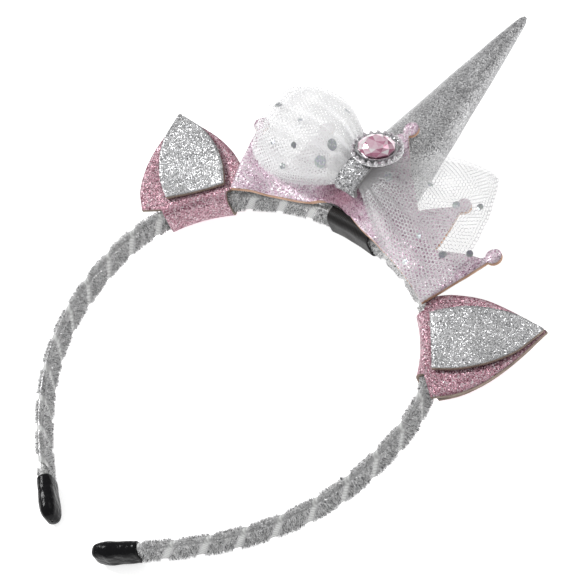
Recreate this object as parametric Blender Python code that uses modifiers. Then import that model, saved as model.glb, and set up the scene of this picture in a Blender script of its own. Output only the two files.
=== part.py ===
"""Unicorn horn headband, lying on its back as it does on a table.

Metres, +Z up. Every piece is modelled in the headband's own flat frame, X across the head, Y from
the two tips towards the horn and Z from the back of the headband to its front. The frame is then
tilted by the small angle at which the end caps and the back of the horn touch the table together.
"""

import math
from collections import namedtuple

import bmesh
import bpy
import numpy as np

MM = 0.001

# Clearances
SEAT_GAP = 0.3 * MM
WOUND_GAP = 0.5 * MM

# Band, along the centre line of its strip
BAND_HEIGHT = 123.0 * MM
BAND_SPREAD = 117.0 * MM
BAND_WIDEST_HEIGHT = 76.5 * MM
TIP_DISTANCE = 16.1 * MM
TIP_SLANT = math.radians(53.6)
STRIP_WIDTH = 6.2 * MM
STRIP_THICKNESS = 1.2 * MM
STRIP_EDGE_BEVEL = 0.3 * MM
STRIP_STATION_STEP = 5.0 * MM
STRIP_END_TRIM = 2.7 * MM

# Handles of the centre line's four arcs, as shares of the half spread or of the arc's height
TOP_HANDLE = 0.59
SHOULDER_HANDLE = 0.55
SIDE_HANDLE = 0.49
TIP_HANDLE = 0.63

# Tinsel tape wound round the strip
TAPE_WIDTH = 8.7 * MM
TAPE_PITCH = 10.4 * MM
TAPE_THICKNESS = 0.4 * MM
TAPE_START_SHIFT = 8.3 * MM
TAPE_FIRST_WIDTH = 1.5 * MM
TAPE_EDGE_SEGMENTS = 4
TAPE_CELLS_ACROSS = 1
TAPE_SIDE = 1.0

# How far a flat cell of tape stands in from the band's curve
TAPE_CELL_DROP = 0.2 * MM

# End caps
CAP_LENGTH = 13.9 * MM
CAP_WIDTH = 8.7 * MM
CAP_THICKNESS = 5.0 * MM
CAP_CORNER = 1.3 * MM
CAP_END_WALL = 1.4 * MM

# Ears
EAR_STATION = 52.5 * MM
EAR_LENGTH = 33.0 * MM
EAR_HALF_WIDTH = 16.5 * MM
EAR_AXIS_SHIFT = 1.1 * MM
EAR_APEX_SHIFT = 3.1 * MM
EAR_CORNER_DROOP = 2.4 * MM
EAR_LEAF_BASE = 1.0 * MM
EAR_STRAP_HALF_WIDTH = 10.6 * MM
EAR_LEATHER = 1.0 * MM
EAR_APEX_LIFT = 0.5 * MM
EAR_BACK_SHARE = 0.80
INNER_EAR_HALF_WIDTH = 10.1 * MM
INNER_EAR_LENGTH = 32.6 * MM

# The two ears differ a little: how far each one's front leaves lean along the band
EarPlace = namedtuple("EarPlace", "name side leaf_shift")
EARS = (
    EarPlace("left", -1, 0.0),
    EarPlace("right", 1, 1.8 * MM),
)

# Crown, by arc length along the band and by height above the band's centre line
CROWN_HALF_LENGTH = 41.2 * MM
CROWN_POINT_HEIGHT = 24.6 * MM
CROWN_FRONT_POINT_HEIGHT = 31.4 * MM
CROWN_END_POINT_HEIGHT = 23.5 * MM
CROWN_BALL_RADIUS = 2.45 * MM
CROWN_LEATHER = 1.2 * MM
CROWN_HEM_DROP = 1.6 * MM
CROWN_HEM_END_RISE = 1.5 * MM
CROWN_HEM_ARCH = 3.2 * MM
CROWN_HEM_ARCH_PLACE = -5.5 * MM
CROWN_HEM_ARCH_HALF_WIDTH = 9.0 * MM
CROWN_BULGE_HALF_WIDTH = 15.0 * MM
CROWN_BULGE_RISE = 6.0 * MM
CROWN_BULGE_START = 1.0 * MM
CROWN_BULGE_CLIMB = 6.5 * MM
CROWN_BULGE_SLOPE = 0.036
CROWN_END_START = 28.0 * MM
CROWN_ROWS = 7

# Radius of the circle that the band's top follows closely
BAND_TOP_RADIUS = 60.0 * MM

# Horn
HORN_LENGTH = 86.0 * MM
HORN_RADIUS = 14.2 * MM
HORN_DEPTH_RADIUS = 9.6 * MM
HORN_FOOT_SHIFT = -2.2 * MM
HORN_LEAN = math.radians(2.4)
HORN_SIDES = 20

# Tulle bow
TULLE_WALL = 1.0 * MM
BOW_NECK_FRONT = 14.9 * MM
BOW_NECK_DEPTH = 1.4 * MM
BOW_STEPS_ALONG = 18
BOW_STEPS_ACROSS = 10

# Strap round the middle of the bow
KNOT_WIDTH = 7.8 * MM
KNOT_HEIGHT = 24.0 * MM
KNOT_FRONT = 18.4 * MM
KNOT_SHIFT = -0.6 * MM
KNOT_THICKNESS = 1.2 * MM
KNOT_LEAN = math.radians(2.0)

# Gem, its silver cup, and the ring of small stones round the cup
GEM_LENGTH = 11.6 * MM
GEM_WIDTH = 9.0 * MM
GEM_HEIGHT = 2.6 * MM
GEM_GIRDLE = 0.8 * MM
GEM_TABLE_SHARE = 0.52
GEM_SIDES = 16
GEM_TURN = math.radians(20.0)
GEM_TIP_BACK = math.radians(8.0)
GEM_SIDE_SHIFT = 0.8 * MM
GEM_RISE = 17.6 * MM
GEM_DEPTH = 18.8 * MM
SETTING_WALL = 0.4 * MM
SETTING_FLOOR = 0.8 * MM
SETTING_LIFT = 0.15 * MM
SETTING_RIM = 1.3 * MM
RING_BAND = 1.1 * MM
RING_BAND_HEIGHT = 0.6 * MM
RING_BAND_SIDES = 24
RING_STONES = 22
RING_STONE_RADIUS = 0.7 * MM
RING_STONE_HEIGHT = 1.1 * MM
RING_STONE_SIDES = 6

# Label
LABEL_START = -7.5 * MM
LABEL_END = 9.5 * MM
LABEL_RAMP = 5.0 * MM
LABEL_FRONT_RISE = 1.4 * MM
LABEL_THICKNESS = 1.0 * MM

# Half sizes of the wound band, which everything round it clears
WOUND_HALF_THICKNESS = STRIP_THICKNESS / 2 + WOUND_GAP + TAPE_THICKNESS
WOUND_HALF_WIDTH = STRIP_WIDTH / 2 + WOUND_GAP + TAPE_THICKNESS

# The ring's centre line runs just outside the cup
RING_OFFSET = 2 * (SEAT_GAP + SETTING_WALL + SEAT_GAP + RING_STONE_RADIUS)
RING_LENGTH = GEM_LENGTH + RING_OFFSET
RING_WIDTH = GEM_WIDTH + RING_OFFSET
GEM_PLACE = (GEM_SIDE_SHIFT, BAND_HEIGHT + GEM_RISE, GEM_DEPTH)

# Tables of sections, as shares of the named sizes
LeafRow = namedtuple("LeafRow", "height half_width")
OUTER_LEAF = (
    LeafRow(1.00, 0.02),
    LeafRow(0.91, 0.17),
    LeafRow(0.79, 0.38),
    LeafRow(0.61, 0.66),
    LeafRow(0.40, 0.89),
    LeafRow(0.23, 0.99),
    LeafRow(0.06, 1.00),
)
INNER_LEAF = (
    LeafRow(1.00, 0.03),
    LeafRow(0.90, 0.27),
    LeafRow(0.78, 0.55),
    LeafRow(0.61, 0.80),
    LeafRow(0.42, 0.95),
    LeafRow(0.28, 1.00),
    LeafRow(0.14, 0.98),
    LeafRow(0.00, 0.92),
)

CapRing = namedtuple("CapRing", "along thickness width")
CAP_RINGS = (
    CapRing(0.00, 0.42, 0.55),
    CapRing(0.04, 0.74, 0.82),
    CapRing(0.12, 0.93, 0.95),
    CapRing(0.24, 1.00, 1.00),
    CapRing(0.48, 0.95, 1.00),
    CapRing(0.72, 1.00, 1.00),
    CapRing(0.94, 0.98, 1.00),
    CapRing(1.00, 0.90, 0.98),
)

# Where each column of the crown starts on the hem and ends on the cut top edge
CrownColumn = namedtuple("CrownColumn", "hem top height")
CROWN_COLUMNS = (
    CrownColumn(0.030, 0.036, 0.905),
    CrownColumn(0.175, 0.170, 0.730),
    CrownColumn(0.345, 0.374, 0.560),
    CrownColumn(0.485, 0.486, 0.905),
    CrownColumn(0.545, 0.534, 0.905),
    CrownColumn(0.715, 0.653, 0.410),
    CrownColumn(0.950, 0.867, 0.812),
    CrownColumn(1.000, 0.909, 0.831),
)

HornRing = namedtuple("HornRing", "height radius depth")
HORN_RINGS = (
    HornRing(0.000, 0.960, 0.50),
    HornRing(0.030, 1.000, 0.80),
    HornRing(0.080, 0.965, 1.00),
    HornRing(0.140, 0.905, 1.04),
    HornRing(0.290, 0.745, 1.09),
    HornRing(0.390, 0.655, 0.969),
    HornRing(0.620, 0.455, 0.673),
    HornRing(0.820, 0.275, 0.407),
    HornRing(0.950, 0.140, 0.207),
    HornRing(0.985, 0.095, 0.141),
    HornRing(1.000, 0.045, 0.067),
)

# A loop of the bow: its two long edges as curves of x and of height above the band's line, how far
# the fold swells past their ends, the depth of its rear, how deep it is in the middle and how much
# of that its edges lose
Loop = namedtuple("Loop", "top bottom swell rear depth edge_loss edge_drop pleats pleat_depth")
LOOP_LEFT = Loop(
    top=((-0.75, 13.2), (-9.5, 21.5), (-23.0, 35.5), (-37.0, 27.0)),
    bottom=((-0.75, 6.4), (-9.0, 4.0), (-20.0, -8.5), (-38.0, 0.0)),
    swell=-4.6 * MM,
    rear=7.6 * MM,
    depth=13.0 * MM,
    edge_loss=0.70,
    edge_drop=2.5 * MM,
    pleats=5,
    pleat_depth=0.8 * MM,
)
LOOP_RIGHT = Loop(
    top=((0.75, 13.2), (8.0, 24.0), (18.0, 35.0), (33.0, 32.0)),
    bottom=((0.75, 6.4), (7.2, 4.4), (19.5, -10.0), (41.0, -12.5)),
    swell=5.0 * MM,
    rear=7.6 * MM,
    depth=4.4 * MM,
    edge_loss=0.30,
    edge_drop=0.0,
    pleats=6,
    pleat_depth=0.6 * MM,
)

# The strap over the bow's middle, as shares of its height above the band's line and of its depth
KnotRow = namedtuple("KnotRow", "height front")
KNOT_ROWS = (
    KnotRow(0.142, 0.804),
    KnotRow(0.163, 0.902),
    KnotRow(0.225, 0.957),
    KnotRow(0.333, 0.978),
    KnotRow(0.458, 0.995),
    KnotRow(0.583, 1.000),
    KnotRow(0.750, 0.978),
    KnotRow(0.896, 0.891),
    KnotRow(1.000, 0.750),
)


def clear_scene():
    for obj in list(bpy.data.objects):
        bpy.data.objects.remove(obj, do_unlink=True)


def make_material(name, colour, roughness, metallic=0.0):
    material = bpy.data.materials.new(name)
    material.use_nodes = True
    shader = material.node_tree.nodes["Principled BSDF"]
    shader.inputs["Base Color"].default_value = (*colour, 1.0)
    shader.inputs["Roughness"].default_value = roughness
    shader.inputs["Metallic"].default_value = metallic
    return material


def add_object(name, mesh, material, frame):
    """Puts a mesh in the part's collection, under the headband's frame."""
    mesh.materials.append(material)
    obj = bpy.data.objects.new(name, mesh)
    PARTS.objects.link(obj)
    obj.parent = frame
    return obj


def mesh_from(name, points, faces, close=False):
    mesh = bpy.data.meshes.new(name)
    mesh.from_pydata([tuple(p) for p in points], [], faces)
    if close:
        work = bmesh.new()
        work.from_mesh(mesh)
        bmesh.ops.recalc_face_normals(work, faces=work.faces)
        work.to_mesh(mesh)
        work.free()
    return mesh


def grid_faces(rows, columns):
    return [
        (r * columns + c, r * columns + c + 1, (r + 1) * columns + c + 1, (r + 1) * columns + c)
        for r in range(rows - 1)
        for c in range(columns - 1)
    ]


def add_solidify(obj, thickness, offset=0.0):
    shell = obj.modifiers.new("leather", "SOLIDIFY")
    shell.thickness = thickness
    shell.offset = offset
    return shell


def sheet(name, rows, thickness, material, frame, offset=0.0):
    """A sheet through rows of points, given its thickness by Solidify."""
    columns = len(rows[0])
    points = [p for row in rows for p in row]
    obj = add_object(name, mesh_from(name, points, grid_faces(len(rows), columns)), material, frame)
    add_solidify(obj, thickness, offset)
    return obj


def loft(name, rings, material, frame, smooth_angle=50.0):
    """A closed body through rings of equal count, its two ends closed by flat faces."""
    sides = len(rings[0])
    points = [p for ring in rings for p in ring]
    faces = []
    for r in range(len(rings) - 1):
        for c in range(sides):
            d = (c + 1) % sides
            faces.append((r * sides + c, r * sides + d, (r + 1) * sides + d, (r + 1) * sides + c))
    faces.append(tuple(range(sides)))
    last = (len(rings) - 1) * sides
    faces.append(tuple(range(last, last + sides)))
    mesh = mesh_from(name, points, faces, close=True)
    mesh.shade_smooth()
    mesh.set_sharp_from_angle(angle=math.radians(smooth_angle))
    return add_object(name, mesh, material, frame)


def smoothstep(value):
    t = min(max(value, 0.0), 1.0)
    return t * t * (3.0 - 2.0 * t)


def bezier(points, count=240):
    t = np.linspace(0.0, 1.0, count)[:, None]
    a, b, c, d = (np.array(p) for p in points)
    return (1 - t) ** 3 * a + 3 * (1 - t) ** 2 * t * b + 3 * (1 - t) * t**2 * c + t**3 * d


class BandLine:
    """The strip's centre line by arc length from its top, positive along the right leg."""

    def __init__(self):
        half = BAND_SPREAD / 2
        rise = BAND_HEIGHT - BAND_WIDEST_HEIGHT
        tip = TIP_DISTANCE / 2
        shoulder = bezier((
            (0.0, BAND_HEIGHT),
            (TOP_HANDLE * half, BAND_HEIGHT),
            (half, BAND_WIDEST_HEIGHT + SHOULDER_HANDLE * rise),
            (half, BAND_WIDEST_HEIGHT),
        ))
        leg = bezier((
            (half, BAND_WIDEST_HEIGHT),
            (half, BAND_WIDEST_HEIGHT * (1 - SIDE_HANDLE)),
            (tip + TIP_HANDLE * half * math.sin(TIP_SLANT), TIP_HANDLE * half * math.cos(TIP_SLANT)),
            (tip, 0.0),
        ))
        right = np.vstack([shoulder, leg[1:]])
        left = right[:0:-1] * (-1.0, 1.0)
        self.points = np.vstack([left, right])
        steps = np.linalg.norm(np.diff(self.points, axis=0), axis=1)
        along = np.concatenate([[0.0], np.cumsum(steps)])
        self.half_length = along[-1] / 2
        self.strip_end = self.half_length - STRIP_END_TRIM
        self.along = along - self.half_length

    def centre(self, s):
        """The centre line's point; past a tip it runs straight on."""
        inside = min(max(s, -self.half_length), self.half_length)
        x = np.interp(inside, self.along, self.points[:, 0])
        y = np.interp(inside, self.along, self.points[:, 1])
        return np.array([x, y]) + self.tangent(inside) * (s - inside)

    def tangent(self, s):
        reach = 1.5 * MM
        low = max(s - reach, -self.half_length)
        high = min(s + reach, self.half_length)
        x = [np.interp(v, self.along, self.points[:, 0]) for v in (low, high)]
        y = [np.interp(v, self.along, self.points[:, 1]) for v in (low, high)]
        step = np.array([x[1] - x[0], y[1] - y[0]])
        return step / np.linalg.norm(step)

    def outward(self, s):
        t = self.tangent(min(max(s, -self.half_length), self.half_length))
        return np.array([-t[1], t[0]])

    def place(self, s, out, front):
        """A point beside the line: out from the head, and towards the headband's front."""
        x, y = self.centre(s) + self.outward(s) * out
        return (x, y, front)


def build_band_strip(line, frame):
    end = line.strip_end
    stations = np.linspace(-end, end, int(2 * end / STRIP_STATION_STEP) + 1)
    rows = [[line.place(s, 0.0, side * STRIP_WIDTH / 2) for side in (-1, 1)] for s in stations]
    strip = sheet("band_strip", rows, STRIP_THICKNESS, SATIN, frame)
    edge = strip.modifiers.new("rounded edges", "BEVEL")
    edge.width = STRIP_EDGE_BEVEL
    edge.segments = 1
    edge.angle_limit = math.radians(60)
    return strip


def wound_outline():
    """One turn round the strip from the front of its outer face: over the back, and home."""
    round_radius = STRIP_THICKNESS / 2 + WOUND_GAP
    round_centre = STRIP_WIDTH / 2 + WOUND_GAP - round_radius
    points = []
    for end, start in ((-1, 0.0), (1, math.pi)):
        for k in range(TAPE_EDGE_SEGMENTS + 1):
            angle = start + math.pi * k / TAPE_EDGE_SEGMENTS
            points.append((
                round_radius * math.cos(angle),
                end * round_centre - round_radius * math.sin(angle),
            ))
    points.append(points[0])
    lengths = [math.dist(a, b) for a, b in zip(points, points[1:])]
    shares = np.concatenate([[0.0], np.cumsum(lengths)]) / sum(lengths)
    return points[:-1], shares[:-1]


def build_tinsel_wrap(line, frame):
    """One helix of flat tape, cut off square along the cap at each end."""
    outline, shares = wound_outline()
    limit = line.strip_end - CAP_LENGTH + CAP_END_WALL - SEAT_GAP
    first = -limit - TAPE_WIDTH + TAPE_START_SHIFT
    turns = int((2 * limit + TAPE_WIDTH) / TAPE_PITCH) + 2
    rows = []
    for turn in range(turns):
        for (out, front), share in zip(outline, shares):
            start = first + (turn + share) * TAPE_PITCH
            low = max(start, -limit)
            high = min(start + TAPE_WIDTH, limit)
            if high - low < TAPE_FIRST_WIDTH:
                continue
            steps = np.linspace(low, high, TAPE_CELLS_ACROSS + 1)
            rows.append([line.place(s, out, front) for s in steps])
    return sheet("tinsel_wrap", rows, TAPE_THICKNESS, TINSEL, frame, offset=TAPE_SIDE)


def rounded_ring(half_out, half_front, corner, arc_steps=3):
    """A rounded rectangle in the strip's section, as pairs of out and front."""
    points = []
    corners = ((1, 1, 0.0), (-1, 1, 0.5), (-1, -1, 1.0), (1, -1, 1.5))
    for out_side, front_side, quarter in corners:
        for k in range(arc_steps + 1):
            angle = math.pi * (quarter + 0.5 * k / arc_steps)
            points.append((
                out_side * (half_out - corner) + corner * math.cos(angle),
                front_side * (half_front - corner) + corner * math.sin(angle),
            ))
    return points


def build_end_cap(name, side, line, frame):
    """A rubber sleeve with a closed round end, open towards the band."""
    tip = line.strip_end + CAP_END_WALL
    rings = []
    for row in CAP_RINGS:
        half_out = CAP_THICKNESS / 2 * row.thickness
        half_front = CAP_WIDTH / 2 * row.width
        corner = min(CAP_CORNER, 0.9 * half_out)
        s = tip - CAP_LENGTH * row.along
        rings.append([line.place(side * s, o, f) for o, f in rounded_ring(half_out, half_front, corner)])
    socket_out = STRIP_THICKNESS / 2 + SEAT_GAP
    socket_front = STRIP_WIDTH / 2 + SEAT_GAP
    socket = rounded_ring(socket_out, socket_front, 0.5 * socket_out)
    for s in (tip - CAP_LENGTH, tip - 0.5 * CAP_LENGTH, line.strip_end + SEAT_GAP):
        rings.append([line.place(side * s, o, f) for o, f in socket])
    return loft(name, rings, RUBBER, frame)


class Ear:
    """One ear's flat frame: along the band, out from it, and towards the front."""

    def __init__(self, place, line):
        self.side = place.side
        self.leaf_shift = place.leaf_shift
        self.line = line
        self.base = line.centre(EAR_STATION)
        self.outward = line.outward(EAR_STATION)
        self.along = line.tangent(EAR_STATION)

    def flat(self, along, out, front):
        x, y = self.base + self.along * along + self.outward * out
        return (self.side * x, y, front)

    def wound(self, along, out, front):
        """A point that follows the band's curve."""
        x, y, z = self.line.place(EAR_STATION + along, out, front)
        return (self.side * x, y, z)


EAR_FRONT = WOUND_HALF_WIDTH + SEAT_GAP + EAR_LEATHER / 2
EAR_INSIDE = WOUND_HALF_THICKNESS + TAPE_CELL_DROP + SEAT_GAP + EAR_LEATHER / 2


def ear_axis(height_share):
    return EAR_AXIS_SHIFT + (EAR_APEX_SHIFT - EAR_AXIS_SHIFT) * height_share


def leaf_shares(columns=8):
    return np.linspace(-1.0, 1.0, columns + 1)


def ear_front_at(out):
    return EAR_FRONT + EAR_APEX_LIFT * max(out, 0.0) / EAR_LENGTH


def ear_back_at(out):
    """The back leaf leans forward to meet the front one at the apex."""
    apex = EAR_FRONT + EAR_APEX_LIFT - EAR_LEATHER - SEAT_GAP
    share = max(out, 0.0) / EAR_LENGTH
    return -EAR_FRONT + (apex + EAR_FRONT) * share**1.15


def outer_leaf_rows(ear, front_at, width_share, shift):
    rows = []
    for row in OUTER_LEAF:
        low = 1.0 - row.height
        points = []
        for share in leaf_shares():
            along = ear_axis(row.height) + shift * (1.0 - 0.5 * row.height)
            along += share * row.half_width * EAR_HALF_WIDTH * width_share
            droop = EAR_CORNER_DROOP * share**2 * low**4
            out = row.height * EAR_LENGTH - droop
            points.append(ear.flat(along, out, front_at(out)))
        rows.append(points)
    return rows


def build_outer_ear(name, place, line, frame):
    """Front leaf, strap round the inside of the band, back leaf: one folded piece."""
    ear = Ear(place, line)
    bend = EAR_INSIDE
    section = []
    for k in range(4):
        angle = math.pi / 6 * k
        section.append((-bend * math.sin(angle), EAR_FRONT - bend + bend * math.cos(angle)))
    section += [(out, -front) for out, front in reversed(section)]
    strap = [
        [
            ear.wound(ear_axis(0.0) + share * EAR_STRAP_HALF_WIDTH, out, front)
            for share in leaf_shares()
        ]
        for out, front in section
    ]
    front_leaf = outer_leaf_rows(ear, ear_front_at, 1.0, ear.leaf_shift)
    back_leaf = outer_leaf_rows(ear, ear_back_at, EAR_BACK_SHARE, 0.0)
    return sheet(name, front_leaf + strap + back_leaf[::-1], EAR_LEATHER, PINK_LEATHER, frame)


def build_inner_ear(name, place, line, frame):
    ear = Ear(place, line)
    lift = EAR_LEATHER + SEAT_GAP
    rows = []
    for row in INNER_LEAF:
        out = EAR_LEAF_BASE + row.height * (INNER_EAR_LENGTH - EAR_LEAF_BASE)
        centre = ear_axis(row.height) - EAR_AXIS_SHIFT * (1 - row.height)
        centre += ear.leaf_shift * (1.0 - 0.5 * row.height)
        half = row.half_width * INNER_EAR_HALF_WIDTH
        rows.append([
            ear.flat(centre + share * half, out, ear_front_at(out) + lift) for share in leaf_shares(6)
        ])
    return sheet(name, rows, EAR_LEATHER, SILVER_LEATHER, frame)


def crown_front(s, height):
    """Depth of the crown's middle surface: flat on the band, pushed out by the horn behind it."""
    base = WOUND_HALF_WIDTH + SEAT_GAP + CROWN_LEATHER / 2
    over_ear = (EAR_LEATHER + SEAT_GAP + 0.1 * MM) * smoothstep(
        (abs(s) - CROWN_END_START) / (0.2 * CROWN_HALF_LENGTH)
    )
    hump = math.exp(-(((s - HORN_FOOT_SHIFT / 2) / CROWN_BULGE_HALF_WIDTH) ** 2))
    rise = CROWN_BULGE_RISE * smoothstep((height + CROWN_BULGE_START) / CROWN_BULGE_CLIMB)
    rise += CROWN_BULGE_SLOPE * max(height, 0.0)
    over_label = (LABEL_THICKNESS + SEAT_GAP) * min(
        smoothstep((s - LABEL_START) / LABEL_RAMP + 1.6), smoothstep((LABEL_END - s) / LABEL_RAMP + 1.6)
    )
    return base + over_ear + max(hump * rise, over_label)


def crown_point(line, s, height):
    return line.place(s, height, crown_front(s, height))


def build_crown(line, frame):
    """A strip with five points, each ending in a round ball, cut from one sheet."""
    right = []
    for a, b in zip(CROWN_COLUMNS, CROWN_COLUMNS[1:]):
        cells = max(1, round((b.hem - a.hem) * CROWN_HALF_LENGTH / (2.6 * MM)))
        for k in range(cells):
            t = k / cells
            right.append(CrownColumn(*(p + (q - p) * t for p, q in zip(a, b))))
    right.append(CROWN_COLUMNS[-1])
    left = [CrownColumn(-c.hem, -c.top, c.height) for c in reversed(right)]
    columns = left + [CrownColumn(0.0, 0.0, CROWN_COLUMNS[0].height)] + right
    work = bmesh.new()
    grid = []
    for column in columns:
        hem = column.hem * CROWN_HALF_LENGTH
        top = column.top * CROWN_HALF_LENGTH
        peak = CROWN_POINT_HEIGHT
        front_share = max(0.0, 1.0 - abs(column.top) / CROWN_COLUMNS[2].top)
        peak += (CROWN_FRONT_POINT_HEIGHT - CROWN_POINT_HEIGHT) * front_share
        arch = math.exp(-(((hem - CROWN_HEM_ARCH_PLACE) / CROWN_HEM_ARCH_HALF_WIDTH) ** 2))
        low = -CROWN_HEM_DROP + CROWN_HEM_END_RISE * column.hem**4 + CROWN_HEM_ARCH * arch
        high = column.height * peak
        points = []
        for k in range(CROWN_ROWS + 1):
            t = (k / CROWN_ROWS) ** 1.3
            points.append(work.verts.new(crown_point(line, hem + (top - hem) * t, low + (high - low) * t)))
        grid.append(points)
    for a, b in zip(grid, grid[1:]):
        for k in range(CROWN_ROWS):
            work.faces.new((a[k], b[k], b[k + 1], a[k + 1]))
    add_crown_balls(work, line, columns, grid)
    mesh = bpy.data.meshes.new("crown")
    work.to_mesh(mesh)
    work.free()
    obj = add_object("crown", mesh, CHUNKY_PINK, frame)
    add_solidify(obj, CROWN_LEATHER)
    return obj


def add_crown_balls(work, line, columns, grid):
    """Carries the sheet on over each point as a round ball."""
    middle = len(columns) // 2
    pairs = [(middle - 1, middle + 1, CROWN_FRONT_POINT_HEIGHT)]
    for low, high, height in ((3, 4, CROWN_POINT_HEIGHT), (6, 7, CROWN_END_POINT_HEIGHT)):
        found = [
            next(i for i, c in enumerate(columns) if c == CROWN_COLUMNS[n]) for n in (low, high)
        ]
        pairs.append((*found, height))
        mirrored = [len(columns) - 1 - i for i in reversed(found)]
        pairs.append((*mirrored, height))
    for low, high, centre_height in pairs:
        edge = [grid[i][-1] for i in range(low, high + 1)]
        place = columns[low].top + columns[high].top
        centre_s = place / 2 * CROWN_HALF_LENGTH
        for angle in (-0.72, -0.42, -0.1, 0.25, 0.6, 0.92):
            half = CROWN_BALL_RADIUS * math.cos(angle * math.pi / 2)
            height = centre_height + CROWN_BALL_RADIUS * math.sin(angle * math.pi / 2)
            stretch = BAND_TOP_RADIUS / (BAND_TOP_RADIUS + centre_height)
            steps = np.linspace(-1.0, 1.0, len(edge))
            row = [
                work.verts.new(crown_point(line, centre_s + share * half * stretch, height))
                for share in steps
            ]
            for k in range(len(edge) - 1):
                work.faces.new((edge[k], edge[k + 1], row[k + 1], row[k]))
            edge = row


def build_horn(frame):
    foot = BAND_HEIGHT + WOUND_HALF_THICKNESS + SEAT_GAP + math.sin(HORN_LEAN) * HORN_RADIUS
    rings = []
    for row in HORN_RINGS:
        ring = []
        for k in range(HORN_SIDES):
            angle = 2 * math.pi * k / HORN_SIDES
            across = math.cos(angle) * HORN_RADIUS * row.radius
            up = row.height * HORN_LENGTH
            x = across * math.cos(HORN_LEAN) - up * math.sin(HORN_LEAN)
            y = up * math.cos(HORN_LEAN) + across * math.sin(HORN_LEAN)
            z = math.sin(angle) * HORN_DEPTH_RADIUS * row.depth
            ring.append((HORN_FOOT_SHIFT + x, foot + y, z))
        rings.append(ring)
    return loft("horn", rings, SILVER_LEATHER, frame)


def crown_cover(x, y):
    """Depth at which tulle lies on the crown's face, beside the point x, y."""
    centre_y = BAND_HEIGHT - BAND_TOP_RADIUS
    s = BAND_TOP_RADIUS * math.atan2(x, y - centre_y)
    height = math.hypot(x, y - centre_y) - BAND_TOP_RADIUS
    return crown_front(s, height) + CROWN_LEATHER / 2 + SEAT_GAP + TULLE_WALL / 2


def curve_point(points, t):
    """A point of a curve whose points are in millimetres, their heights above the band's line."""
    a, b, c, d = (np.array((x * MM, BAND_HEIGHT + height * MM)) for x, height in points)
    return (1 - t) ** 3 * a + 3 * (1 - t) ** 2 * t * b + 3 * (1 - t) * t**2 * c + t**3 * d


def loop_point(loop, turn, across):
    """A point of the tulle loop: turn runs out along its front and back along its rear."""
    wave = math.sin(math.pi * turn)
    reach = wave**2
    upper = curve_point(loop.top, reach)
    lower = curve_point(loop.bottom, reach)
    x, y = lower + (upper - lower) * (across + 1) / 2
    x += loop.swell * reach**2 * (1 - across**2)
    out = smoothstep(1.4 * reach - 0.1)
    middle = BOW_NECK_FRONT + (loop.rear + loop.depth / 2 - BOW_NECK_FRONT) * out
    middle -= loop.edge_drop * reach * across**2
    swell = loop.depth / 2 * math.sin(2 * math.pi * turn) * wave**0.6 * (1 - loop.edge_loss * across**2)
    swell *= smoothstep((reach - 0.06) / 0.25)
    neck = BOW_NECK_DEPTH / 2 * (1 if turn < 0.5 else -1) * (1 - reach) ** 2
    fade = smoothstep((reach - 0.10) / 0.15) * (1.0 - 0.6 * reach)
    pleat = loop.pleat_depth * fade * math.cos(math.pi * loop.pleats * across + 2 * turn)
    floor = crown_cover(x, y) + (TULLE_WALL + SEAT_GAP if turn < 0.5 else 0.0) * (1 - reach)
    return (x, y, max(middle + swell + neck + pleat, floor))


def build_loop(name, loop, frame):
    rows = []
    for k in range(BOW_STEPS_ALONG + 1):
        turn = 0.02 + 0.96 * k / BOW_STEPS_ALONG
        rows.append([
            loop_point(loop, turn, across) for across in np.linspace(-1.0, 1.0, BOW_STEPS_ACROSS + 1)
        ])
    return sheet(name, rows, TULLE_WALL, TULLE, frame)


def build_knot(frame):
    rows = []
    for row in KNOT_ROWS:
        height = KNOT_HEIGHT * row.height
        front = KNOT_FRONT * row.front
        shift = KNOT_SHIFT - math.tan(KNOT_LEAN) * height
        half = KNOT_WIDTH / 2
        rows.append([
            (shift + share * half, BAND_HEIGHT + height, front - 0.5 * MM * share**2)
            for share in (-1.0, -0.5, 0.0, 0.5, 1.0)
        ])
    return sheet("bow_knot", rows, KNOT_THICKNESS, COARSE_SILVER, frame)


def brooch_point(x, y, z):
    """From the gem's own flat frame to the headband's: turned, then tipped back a little."""
    turned_x = x * math.cos(GEM_TURN) - y * math.sin(GEM_TURN)
    turned_y = x * math.sin(GEM_TURN) + y * math.cos(GEM_TURN)
    tipped_y = turned_y * math.cos(GEM_TIP_BACK) + z * math.sin(GEM_TIP_BACK)
    tipped_z = -turned_y * math.sin(GEM_TIP_BACK) + z * math.cos(GEM_TIP_BACK)
    return (GEM_PLACE[0] + turned_x, GEM_PLACE[1] + tipped_y, GEM_PLACE[2] + tipped_z)


def oval_ring(length, width, z, turn_share=0.0, sides=GEM_SIDES):
    points = []
    for k in range(sides):
        angle = 2 * math.pi * (k + turn_share) / sides
        points.append(brooch_point(length / 2 * math.cos(angle), width / 2 * math.sin(angle), z))
    return points


def build_gem(frame):
    """An oval stone: flat back, girdle, two rings of facets and a table."""
    floor = SETTING_LIFT + SETTING_FLOOR + SEAT_GAP
    length = GEM_LENGTH
    width = GEM_WIDTH
    rise = GEM_HEIGHT - GEM_GIRDLE
    sections = (
        (0.80, 0.0, 0.0),
        (1.00, 0.5 * GEM_GIRDLE, 0.0),
        (1.00, GEM_GIRDLE, 0.0),
        (0.80, GEM_GIRDLE + 0.62 * rise, 0.5),
        (GEM_TABLE_SHARE, GEM_HEIGHT, 0.0),
    )
    rings = [oval_ring(length * k, width * k, floor + z, t) for k, z, t in sections]
    stone = loft("gem_stone", rings, PINK_GLASS, frame)
    stone.data.shade_flat()
    return stone


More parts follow.
